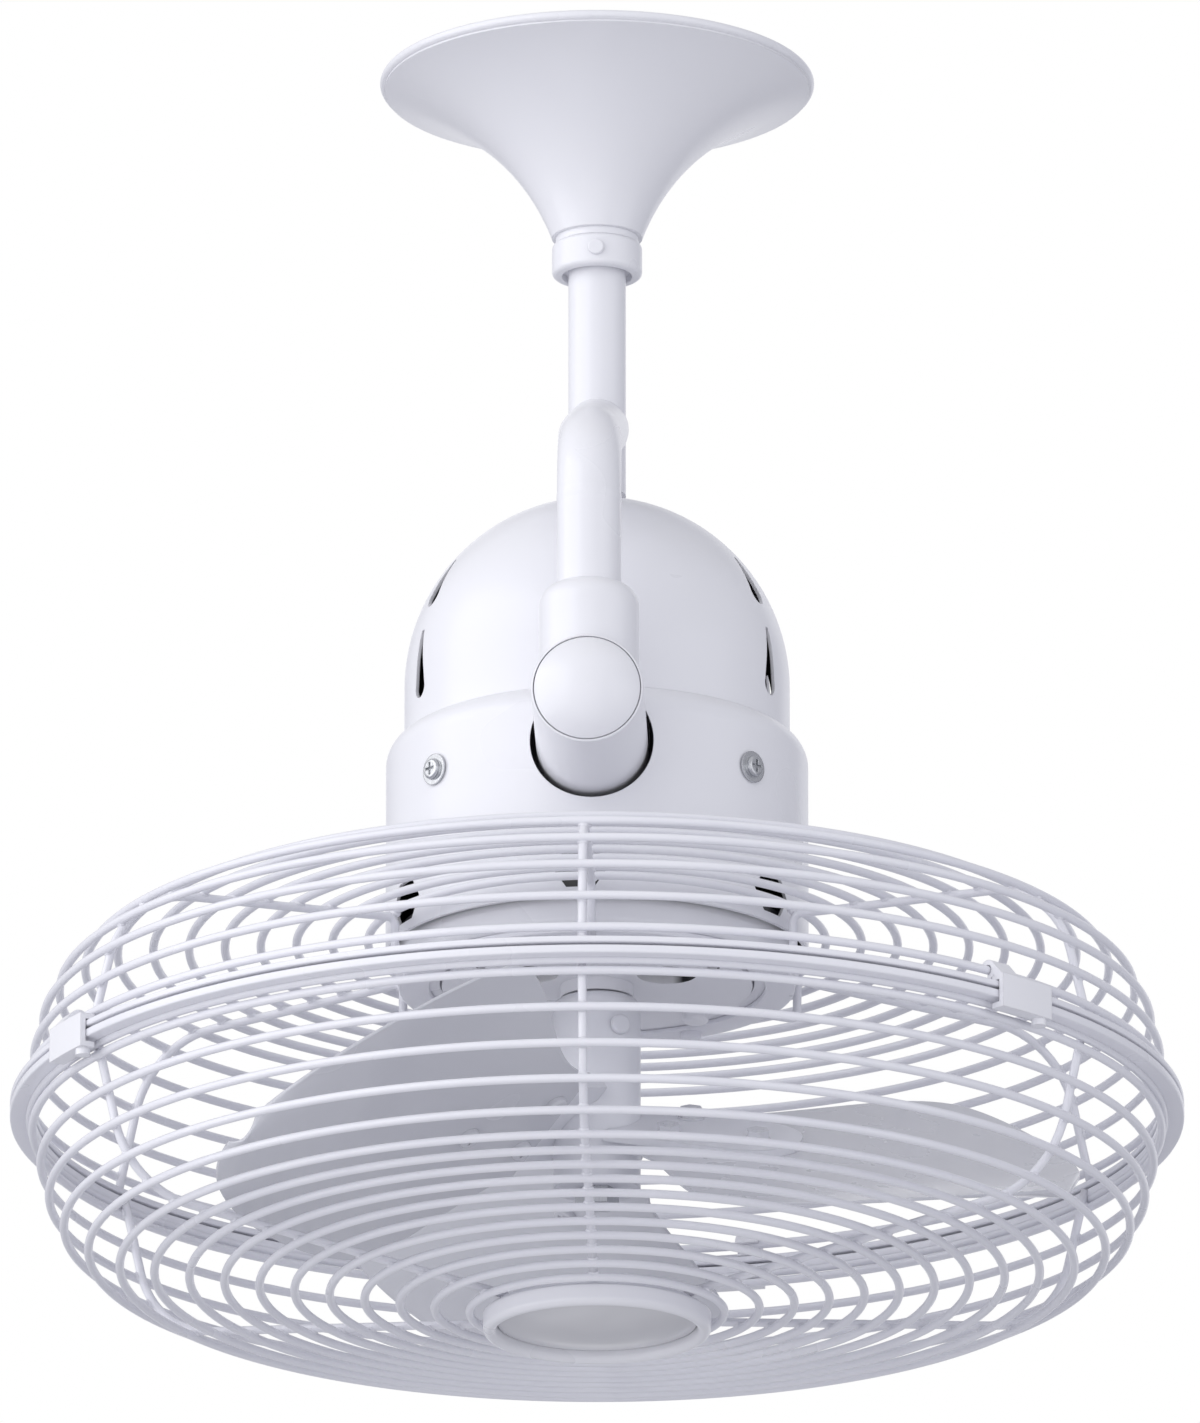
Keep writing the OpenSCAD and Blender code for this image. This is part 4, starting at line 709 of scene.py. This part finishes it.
@dataclass
class Guard(Piece):
    """A wire guard: rings welded outside bent ribs, and a flat rim.

    Attributes:
        down: -1 for the guard that hangs below the rim plane, or 1.
        path_r: Radius at which the wires' path starts.
        slope: Slope of the crown in degrees.
        rings: Number of rings.
        inner_r: Radius of the innermost ring.
        rim_h: Height of the rim.
        rim_z: Height of the plane between the guards.
        rim_r: Outer radius of the rim.
        rim_w: Width of the rim.
        rim_corner: Radius of its edges.
        seam: Gap between the two rims.
        wire_r: Radius of the wires.
        rib_offset: How far the ribs lie inside the rings.
        lean: Lean of the side wall in degrees.
        side_l: Length of the side wall.
        bend_r: Radius of the bend to the crown.
        first: Distance of the outermost ring.
        ribs: Number of ribs.
        rib_from: Distance at which the ribs start.
        rib_past: Length of the ribs past the innermost ring.
        bead: Half-axes of a weld: across, along and through the rib.
        butt_at: Azimuth of the first butt weld, and the step to the next.
        butt_l: Length of a butt weld.
        butt_swell: How much it swells the wire.
    """

    down: int = 1
    path_r: float = 198.5
    slope: float = 3.0
    rings: int = 13
    inner_r: float = 79.0
    rim_h: float = 2.2
    rim_z: float = -376.0
    rim_r: float = 202.0
    rim_w: float = 8.5
    rim_corner: float = 0.6
    seam: float = 0.9
    wire_r: float = 1.5
    rib_offset: float = 2.4
    lean: float = 14.0
    side_l: float = 30.5
    bend_r: float = 36.5
    first: float = 7.5
    ribs: int = 6
    rib_from: float = 1.6
    rib_past: float = 8.0
    bead: Triple = (2.3, 2.0, 1.3)
    butt_at: Pair = (97.0, 31.0)
    butt_l: float = 2.2
    butt_swell: float = 0.07

    @property
    def bend_centre(self) -> Pair:
        """Radius and height of the middle of the bend."""
        lean = math.radians(self.lean)
        return (self.path_r - self.side_l * math.sin(lean) - self.bend_r * math.cos(lean),
                self.side_l * math.cos(lean) - self.bend_r * math.sin(lean))

    @property
    def bend_l(self) -> float:
        """Length of the bend along the path."""
        return self.bend_r * math.radians(90.0 - self.lean - self.slope)

    @property
    def crown_l(self) -> float:
        """Length of the crown along the path."""
        start = self.bend_centre[0] + self.bend_r * math.sin(math.radians(self.slope))
        return (start - self.inner_r) / math.cos(math.radians(self.slope))

    @property
    def path_l(self) -> float:
        """Length of the whole path, to the innermost ring."""
        return self.side_l + self.bend_l + self.crown_l

    def path(self, s: float, inward: float = 0.0) -> Pair:
        """Gives a point on the section of the guard.

        Args:
            s: Distance along the path from the rim.
            inward: Distance from the path towards the inside.

        Returns:
            Radius, and height over the rim plane.
        """
        cr, cz = self.bend_centre
        reach = self.bend_r - inward
        turn = self.lean + math.degrees((s - self.side_l) / self.bend_r)
        turn = math.radians(max(self.lean, min(90.0 - self.slope, turn)))
        r, z = cr + reach * math.cos(turn), cz + reach * math.sin(turn)
        if s < self.side_l:
            back = self.side_l - s
            return r + back * math.sin(turn), z - back * math.cos(turn)
        on = max(0.0, s - self.side_l - self.bend_l)
        return r - on * math.sin(turn), z + on * math.cos(turn)

    def place(self, r: float, z: float) -> Vector:
        """Gives a point in the plane of azimuth 90 from radius and height."""
        return Vector((r, 0.0, self.rim_z + self.down * z))

    def ring(self, pad: MeshPad, r: float, z: float, butt_at: float) -> None:
        """Adds one wire ring with a faint butt weld.

        Args:
            pad: Where the mesh goes.
            r: Radius of the ring.
            z: Height over the rim plane.
            butt_at: Azimuth of the weld in degrees.
        """
        steps = max(96, int(r * 1.15))
        level = self.rim_z + self.down * z
        path, radii = [], []
        for i in range(steps):
            a = math.tau * i / steps
            path.append(Vector((r * math.cos(a), r * math.sin(a), level)))
            off = abs((math.degrees(a) - butt_at + 180.0) % 360.0 - 180.0) * math.pi / 180.0 * r
            swell = self.butt_swell * math.exp(-(off / self.butt_l) ** 2)
            radii.append(self.wire_r * (1.0 + swell))
        pad.tube(path, Vector((0.0, 0.0, 1.0)), radii, 12, True)

    def rib_path(self) -> Profile:
        """Draws one rib.

        Returns:
            Radius and height of each point.
        """
        stops = [self.rib_from, 12.0, self.side_l]
        stops += [self.side_l + self.bend_l * k / 12 for k in range(1, 13)]
        stops += [self.side_l + self.bend_l + self.crown_l * k / 4 for k in range(1, 4)]
        return [self.path(s, self.rib_offset) for s in stops] + self.rib_end()

    def rib_end(self) -> Profile:
        """Gives the last points of a rib, past the innermost ring."""
        return [self.path(self.path_l + self.rib_past, self.rib_offset)]

    def middle(self, pad: MeshPad) -> None:
        """Adds what the ribs end in."""

    def draw(self, pad: MeshPad) -> None:
        """Adds the rim, rings, ribs and their welds.

        Args:
            pad: Where the mesh goes.
        """
        low, high = sorted(
            (self.down * self.seam / 2, self.down * (self.seam / 2 + self.rim_h)))
        pad.lathe(rounded_box(
            self.rim_r - self.rim_w, self.rim_r, self.rim_z + low, self.rim_z + high,
            self.rim_corner), 256)
        step = (self.path_l - self.first) / (self.rings - 1)
        stops = [self.first + step * i for i in range(self.rings)]
        for i, s in enumerate(stops):
            self.ring(pad, *self.path(s), butt_at=self.butt_at[0] + self.butt_at[1] * i)
        rib = [self.place(r, z) for r, z in self.rib_path()]
        for k in range(self.ribs):
            turn = at_azimuth(360.0 / self.ribs * k)
            side = turn @ Vector((0.0, 1.0, 0.0))
            pad.tube([turn @ p for p in rib], side, [self.wire_r] * len(rib), 12, False)
            for s in stops:
                self.weld(pad, turn, s)
        self.middle(pad)

    def weld(self, pad: MeshPad, turn: Matrix, s: float) -> None:
        """Adds the bead between a ring and a rib.

        Args:
            pad: Where the mesh goes.
            turn: Turns the plane of azimuth 90 to the rib's.
            s: Distance of the ring along the path.
        """
        outer, inner = self.place(*self.path(s)), self.place(*self.path(s, self.rib_offset))
        normal = (outer - inner).normalized()
        across = Vector((0.0, 1.0, 0.0))
        along = normal.cross(across)
        axes = tuple(turn @ (way * l) for way, l in zip((across, along, normal), self.bead))
        pad.blob(turn @ ((outer + inner) / 2), axes)


@dataclass
class RearGuard(Guard):
    """The guard above the rim, with the flat ring that is screwed to the housing.

    Attributes:
        mount_in: Inner radius of the flat ring.
        mount_out: Its outer radius.
        mount_z: Height of its upper face over the rim plane.
        mount_t: Its thickness.
        mount_corner: Radius of its edges.
        foot_gap: Gap between a rib's foot and that face's height.
        foot_l: Length of the foot.
        hook_r: Radius of the bends between rib and foot.
    """

    mount_in: float = 58.0
    mount_out: float = 68.3
    mount_z: float = 46.5
    mount_t: float = 2.0
    mount_corner: float = 0.5
    foot_gap: float = 0.1
    foot_l: float = 3.0
    hook_r: float = 3.0

    def rib_end(self) -> Profile:
        """Turns the rib down past the innermost ring and in to the flat ring.

        Returns:
            Radius and height of each point.
        """
        r, z = self.path(self.path_l, self.rib_offset)
        foot = self.mount_z - self.wire_r - self.foot_gap
        angles = [math.radians(a) for a in range(10, 91, 20)]
        bend = [(self.hook_r * (1 - math.sin(a)), self.hook_r * (1 - math.cos(a))) for a in angles]
        points = [(r + self.hook_r * 1.6, z - 0.15)]
        points += [(r + short, z - far) for short, far in bend]
        points += [(r - far, foot + short) for short, far in bend]
        return points + [(self.mount_out - self.foot_l, foot)]

    def middle(self, pad: MeshPad) -> None:
        """Adds the flat ring."""
        top = self.rim_z + self.mount_z
        pad.lathe(rounded_box(
            self.mount_in, self.mount_out, top - self.mount_t, top, self.mount_corner), 160)


@dataclass
class FrontGuard(Guard):
    """The guard below the rim, with the small plate that carries the badge.

    Attributes:
        plate_r: Radius of the plate.
        plate_t: Its thickness.
        plate_corner: Bevel of its edge.
        lip: How far the extra wire beside the rim sits in and down.
        lip_butt_at: Azimuth of that wire's butt weld.
    """

    plate_r: float = 37.7
    plate_t: float = 1.6
    plate_corner: float = 0.4
    lip: float = 0.9
    lip_butt_at: float = 203.0

    def middle(self, pad: MeshPad) -> None:
        """Adds the wire beside the rim and the badge's plate.

        Args:
            pad: Where the mesh goes.
        """
        self.ring(pad, self.path_r - self.lip, self.rim_h + self.lip, self.lip_butt_at)
        top = self.rim_z - (self.path(self.path_l)[1] + self.rib_offset - 2 * self.wire_r)
        low, cut, axis = top - self.plate_t, self.plate_corner, 0.01
        pad.lathe([
            (axis, top), (self.plate_r - cut, top), (self.plate_r, top - cut),
            (self.plate_r, low + cut), (self.plate_r - cut, low), (axis, low)], 128)


@dataclass
class Blade(Piece):
    """One pressed sheet blade with a flat root and a twisted, cambered outer part.

    The sheet runs from the radius root to the radius tip. Its root is flat up
    to flat_end, and it widens from widens_from on. A form says where that side
    is widest, as a share of the length, and how blunt it ends. The azimuth is
    counted from the front, in degrees as the other angles are.
    """

    azimuth: float = 75.0
    plane_z: float = -380.0
    droop: float = 12.0
    root_pitch: float = 30.0
    tip_pitch: float = 22.0
    root: float = 23.0
    flat_end: float = 78.0
    tip: float = 170.75
    half_w: float = 27.0
    lead_w: float = 84.0
    trail_w: float = 68.0
    lead_form: Pair = (0.55, 1.5)
    trail_form: Pair = (0.3, 1.6)
    widens_from: float = 22.0
    thick: float = 1.2
    camber: float = 3.5
    edge_round: float = 0.42
    rows: int = 54
    cols: int = 34

    def reach(self, u: float, wide: float, peak: float, power: float) -> float:
        """Gives the width on one side of the blade's middle line.

        Args:
            u: Distance from the hub's middle.
            wide: Greatest width on that side.
            peak: Share of the length at which it is widest.
            power: How blunt the tip is.

        Returns:
            The width in millimetres.
        """
        share = (u - self.widens_from) / (self.tip - self.widens_from)
        if share < peak:
            t = max(0.0, share / peak)
            return self.half_w + (wide - self.half_w) * t * t * (3 - 2 * t)
        return wide * math.sqrt(max(0.0, 1 - ((share - peak) / (1.004 - peak)) ** power))

    def height(self, u: float, v: float, edge: float) -> float:
        """Gives the height of the sheet over the plane of its root.

        Args:
            u: Distance from the hub's middle.
            v: Distance from the middle line.
            edge: Width on v's side.

        Returns:
            The height in millimetres.
        """
        share = (u - self.flat_end) / (self.tip - self.flat_end)

        def ease(t: float) -> float:
            """Returns a smooth step from 0 to 1."""
            t = max(0.0, min(1.0, t))
            return t * t * (3 - 2 * t)

        pitch = math.radians((self.root_pitch - self.tip_pitch) * ease(share * 0.8))
        return -v * math.tan(pitch) - self.camber * ease(share * 1.8) * (1 - (v / edge) ** 2)

    def draw(self, pad: MeshPad) -> None:
        """Adds the sheet as an upper and a lower skin with a closed border.

        Args:
            pad: Where the mesh goes.
        """
        turn = (at_azimuth(self.azimuth) @ Matrix.Translation((0.0, 0.0, self.plane_z))
                @ Matrix.Rotation(math.radians(self.droop), 4, "Y")
                @ Matrix.Rotation(math.radians(self.root_pitch), 4, "X"))
        skins = []
        for i in range(self.rows + 1):
            u = self.root + (self.tip - self.root) * (1 - (1 - i / self.rows) ** 1.5)
            lead = self.reach(u, self.lead_w, *self.lead_form)
            trail = self.reach(u, self.trail_w, *self.trail_form)
            line = [(lead + trail) * j / self.cols - trail for j in range(self.cols + 1)]
            sheet = [(v, self.height(u, v, trail if v < 0 else lead)) for v in line]
            upper = [turn @ Vector((u, v, h)) for v, h in sheet]
            lower = [turn @ Vector((u, v, h - self.thick)) for v, h in sheet]
            skins.append(upper + lower[::-1])
        pad.grid(skins, False, True)
        around = 2 * (self.cols + 1)
        for base in (0, self.rows * around):
            pad.faces += [
                (base + j, base + j + 1, base + around - 2 - j, base + around - 1 - j)
                for j in range(self.cols)]

    def refine(self, piece: bpy.types.Object) -> None:
        """Rounds the sheet's cut edges.

        Args:
            piece: The sheet's object.
        """
        bevel = piece.modifiers.new("edge_round", "BEVEL")
        bevel.width = self.edge_round * MM
        bevel.segments = 3
        bevel.limit_method = "ANGLE"
        bevel.angle_limit = math.radians(50.0)
        piece.modifiers.new("clean_normals", "WEIGHTED_NORMAL").keep_sharp = True


@dataclass
class CoilEnds(Piece):
    """The end turns of the motor's coils, laid strand by strand in two tiers.

    Each of the ends is the height of a face of the core and the signed reach
    of the turns beyond it. A coil end bridges the span, in degrees.
    """

    inner: float = 28.0
    outer: float = 41.0
    ends: tuple[Pair, ...] = ((-286.0, 5.0), (-306.0, -7.0))
    coils: int = 12
    span: float = 82.0
    strands: int = 7
    strand_r: float = 0.62
    steps: int = 16
    sides: int = 6

    def draw(self, pad: MeshPad) -> None:
        """Adds every strand of every coil above and below the core.

        Args:
            pad: Where the mesh goes.
        """
        for face, reach in self.ends:
            for tier in (0, 1):
                for coil in range(self.coils):
                    start = 360.0 / self.coils * (coil + tier / 2)
                    self.coil(pad, face, reach, tier, start)

    def coil(self, pad: MeshPad, face: float, reach: float, tier: int, start: float) -> None:
        """Adds the strands of one coil end.

        Args:
            pad: Where the mesh goes.
            face: Height of the core's end.
            reach: Signed height that the turns stand off the core.
            tier: 0 for the inner tier, or 1.
            start: Angle of the slot that the coil leaves.
        """
        half = (self.outer - self.inner) / 2
        middle_r = self.inner + half * (tier + 0.5)
        bundle = half / 2 - self.strand_r - 0.15
        stand = abs(reach) - self.strand_r - 0.1
        for n in range(self.strands):
            lay = math.tau * n / self.strands
            rows = []
            for i in range(self.steps + 1):
                t = i / self.steps
                a = math.radians(start + self.span * t)
                twist = lay + math.pi * t
                r = middle_r + bundle * math.cos(twist)
                lift = stand * (1 - abs(2 * t - 1) ** 5)
                lift *= 0.80 + 0.20 * math.sin(twist)
                z = face + math.copysign(max(0.0, lift), reach)
                rows.append((Vector((math.cos(a), math.sin(a), 0.0)), r, z))
            self.strand(pad, rows)

    def strand(self, pad: MeshPad, rows: list[tuple[Vector, float, float]]) -> None:
        """Adds one strand.

        Args:
            pad: Where the mesh goes.
            rows: Direction, radius and height of each step.
        """
        up = Vector((0.0, 0.0, 1.0))
        turns = [math.tau * j / self.sides for j in range(self.sides)]
        rings = []
        for out, r, z in rows:
            centre = out * r + up * z
            rings.append([
                centre + self.strand_r * (out * math.cos(a) + up * math.sin(a)) for a in turns])
        pad.grid(rings, False, True)


@dataclass(frozen=True)
class SoftBox:
    """A square studio lamp that looks at the fan, sized in metres and watts."""

    name: str
    place: Triple
    size: float
    power: float
    tint: Colour = (1.0, 1.0, 1.0)

    def build(self, target: Vector) -> None:
        """Adds the lamp.

        Args:
            target: Point that it is turned to.
        """
        lamp = bpy.data.lights.new(self.name, "AREA")
        lamp.shape = "SQUARE"
        lamp.size = self.size
        lamp.energy = self.power
        lamp.color = self.tint
        holder = bpy.data.objects.new(self.name, lamp)
        holder.location = self.place
        holder.rotation_euler = (target - Vector(self.place)).to_track_quat("-Z", "Y").to_euler()
        bpy.context.scene.collection.objects.link(holder)


@dataclass(frozen=True)
class Studio:
    """The pale floor, the soft lamps and the white surround, sized in metres.

    The surround has one colour above and in front, one below, and one behind
    and to the right.
    """

    floor_z: float = -9.0
    floor_half: float = 16.0
    floor_tiles: int = 16
    target: Triple = (0.0, 0.0, -0.3)
    surround: Colour = (0.88, 0.885, 0.925)
    below: Colour = (0.56, 0.565, 0.63)
    behind: Colour = (0.42, 0.425, 0.48)
    surround_level: float = 0.80
    lamps: tuple[SoftBox, ...] = (
        SoftBox("key", (-2.35, -1.2, 0.25), 3.6, 50.0),
        SoftBox("fill", (2.9, -1.6, -0.3), 3.0, 17.0, (0.97, 0.98, 1.0)),
        SoftBox("front", (-0.3, -3.2, -0.9), 3.4, 20.0),
        SoftBox("back", (0.5, 2.9, 0.5), 2.6, 12.0),
    )

    def build(self) -> None:
        """Adds the floor, the lamps and the world."""
        pad = MeshPad()
        half, level = self.floor_half / MM, self.floor_z / MM
        line = [-half + 2 * half * i / self.floor_tiles for i in range(self.floor_tiles + 1)]
        pad.grid([[Vector((x, y, level)) for x in line] for y in line], False, False)
        floor = pad.object(Slot.FLOOR.value)
        floor.data.materials.append(self.floor_finish())
        for lamp in self.lamps:
            lamp.build(Vector(self.target))
        self.build_world()

    def floor_finish(self) -> bpy.types.Material:
        """Builds the pale paper-like finish of the floor.

        Returns:
            The material.
        """
        material = bpy.data.materials.new(Slot.FLOOR.value)
        material.use_nodes = True
        graph = Graph(material.node_tree)
        shader = material.node_tree.nodes["Principled BSDF"].inputs
        mottle = graph.noise(graph.node("ShaderNodeTexCoord").outputs["Object"], 2.0, 4.0)
        graph.feed(
            shader["Base Color"], graph.blend(mottle, (0.86, 0.86, 0.87), (0.9, 0.9, 0.91)))
        graph.feed(shader["Roughness"], graph.span(mottle, (0.3, 0.7), (0.75, 0.9)))
        return material

    def build_world(self) -> None:
        """Adds a tinted surround that the camera sees as white."""
        world = bpy.data.worlds.new("studio")
        world.use_nodes = True
        graph = Graph(world.node_tree)
        world.node_tree.nodes.clear()
        place = graph.node("ShaderNodeTexCoord").outputs["Generated"]
        height = graph.span(graph.part(place, "Z"), (-0.6, 0.6))
        shade = graph.blend(height, self.below, self.surround)
        depth = graph.math(
            "ADD", graph.math("MULTIPLY", graph.part(place, "X"), 0.6),
            graph.math("MULTIPLY", graph.part(place, "Y"), 0.8))
        shade = graph.blend(graph.span(depth, (0.1, 0.9)), shade, self.behind)
        tinted = graph.node("ShaderNodeBackground", Color=shade, Strength=self.surround_level)
        white = graph.node("ShaderNodeBackground", Color=(1.0, 1.0, 1.0, 1.0), Strength=1.0)
        seen = graph.node("ShaderNodeMixShader")
        graph.feed(seen.inputs[0], graph.node("ShaderNodeLightPath").outputs["Is Camera Ray"])
        graph.feed(seen.inputs[1], tinted.outputs[0])
        graph.feed(seen.inputs[2], white.outputs[0])
        graph.feed(graph.node("ShaderNodeOutputWorld").inputs["Surface"], seen.outputs[0])
        bpy.context.scene.world = world


@dataclass(frozen=True)
class CameraRig:
    """A long lens below the fan that looks up at it, a little from its right.

    The lens and the sensor are in millimetres, the angles in degrees and the
    rest in metres. The middle of the view lies above_aim over the aim.
    """

    aim: Triple = (0.001, 0.0, -0.376)
    above_aim: float = 0.1382
    distance: float = 7.5
    pitch: float = 17.5
    azimuth: float = 1.5
    lens: float = 653.9
    sensor: float = 36.0
    clip_end: float = 60.0

    def build(self) -> None:
        """Adds the camera and makes it the scene's."""
        pitch = math.radians(self.pitch)
        turn = Matrix.Rotation(math.radians(self.azimuth), 3, "Z")
        ahead = turn @ Vector((0.0, math.cos(pitch), math.sin(pitch)))
        up = turn @ Vector((0.0, -math.sin(pitch), math.cos(pitch)))
        camera = bpy.data.cameras.new("camera")
        camera.sensor_fit = "HORIZONTAL"
        camera.sensor_width = self.sensor
        camera.lens = self.lens
        camera.clip_end = self.clip_end
        holder = bpy.data.objects.new("camera", camera)
        holder.location = Vector(self.aim) + self.above_aim * up - self.distance * ahead
        holder.rotation_euler = ahead.to_track_quat("-Z", "Y").to_euler()
        bpy.context.scene.collection.objects.link(holder)
        bpy.context.scene.camera = holder


def pieces() -> list[Piece]:
    """Lists the pieces that are built here, in order.

    Returns:
        The pieces.
    """
    blades = [
        Blade(f"blade_sheet_{i + 1}", (f"blade_{i + 1}",), "blade_group", Slot.BLADE_ENAMEL_SHADED,
              azimuth=75.0 + 120.0 * i) for i in range(3)]
    return [
        RearGuard("rear_guard_wires", ("rear_guard",), "head", Slot.WIRE_ENAMEL),
        FrontGuard("front_guard_wires", ("front_guard",), "head", Slot.WIRE_ENAMEL, down=-1,
                   path_r=196.0, slope=7.1, rings=16, inner_r=43.7, rim_h=2.9),
        *blades,
        CoilEnds("coil_ends", ("windings",), "head", Slot.COPPER),
    ]


def main() -> None:
    """Builds the camera, the finishes, the pieces and the studio."""
    logging.basicConfig(level=logging.INFO, format="%(name)s: %(message)s")
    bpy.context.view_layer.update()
    bpy.context.scene.view_settings.view_transform = "Standard"
    CameraRig().build()
    wardrobe = Wardrobe(Effects())
    wardrobe.dress_frame()
    for piece in pieces():
        piece.build(wardrobe)
    Studio().build()


if __name__ == "__main__":
    main()
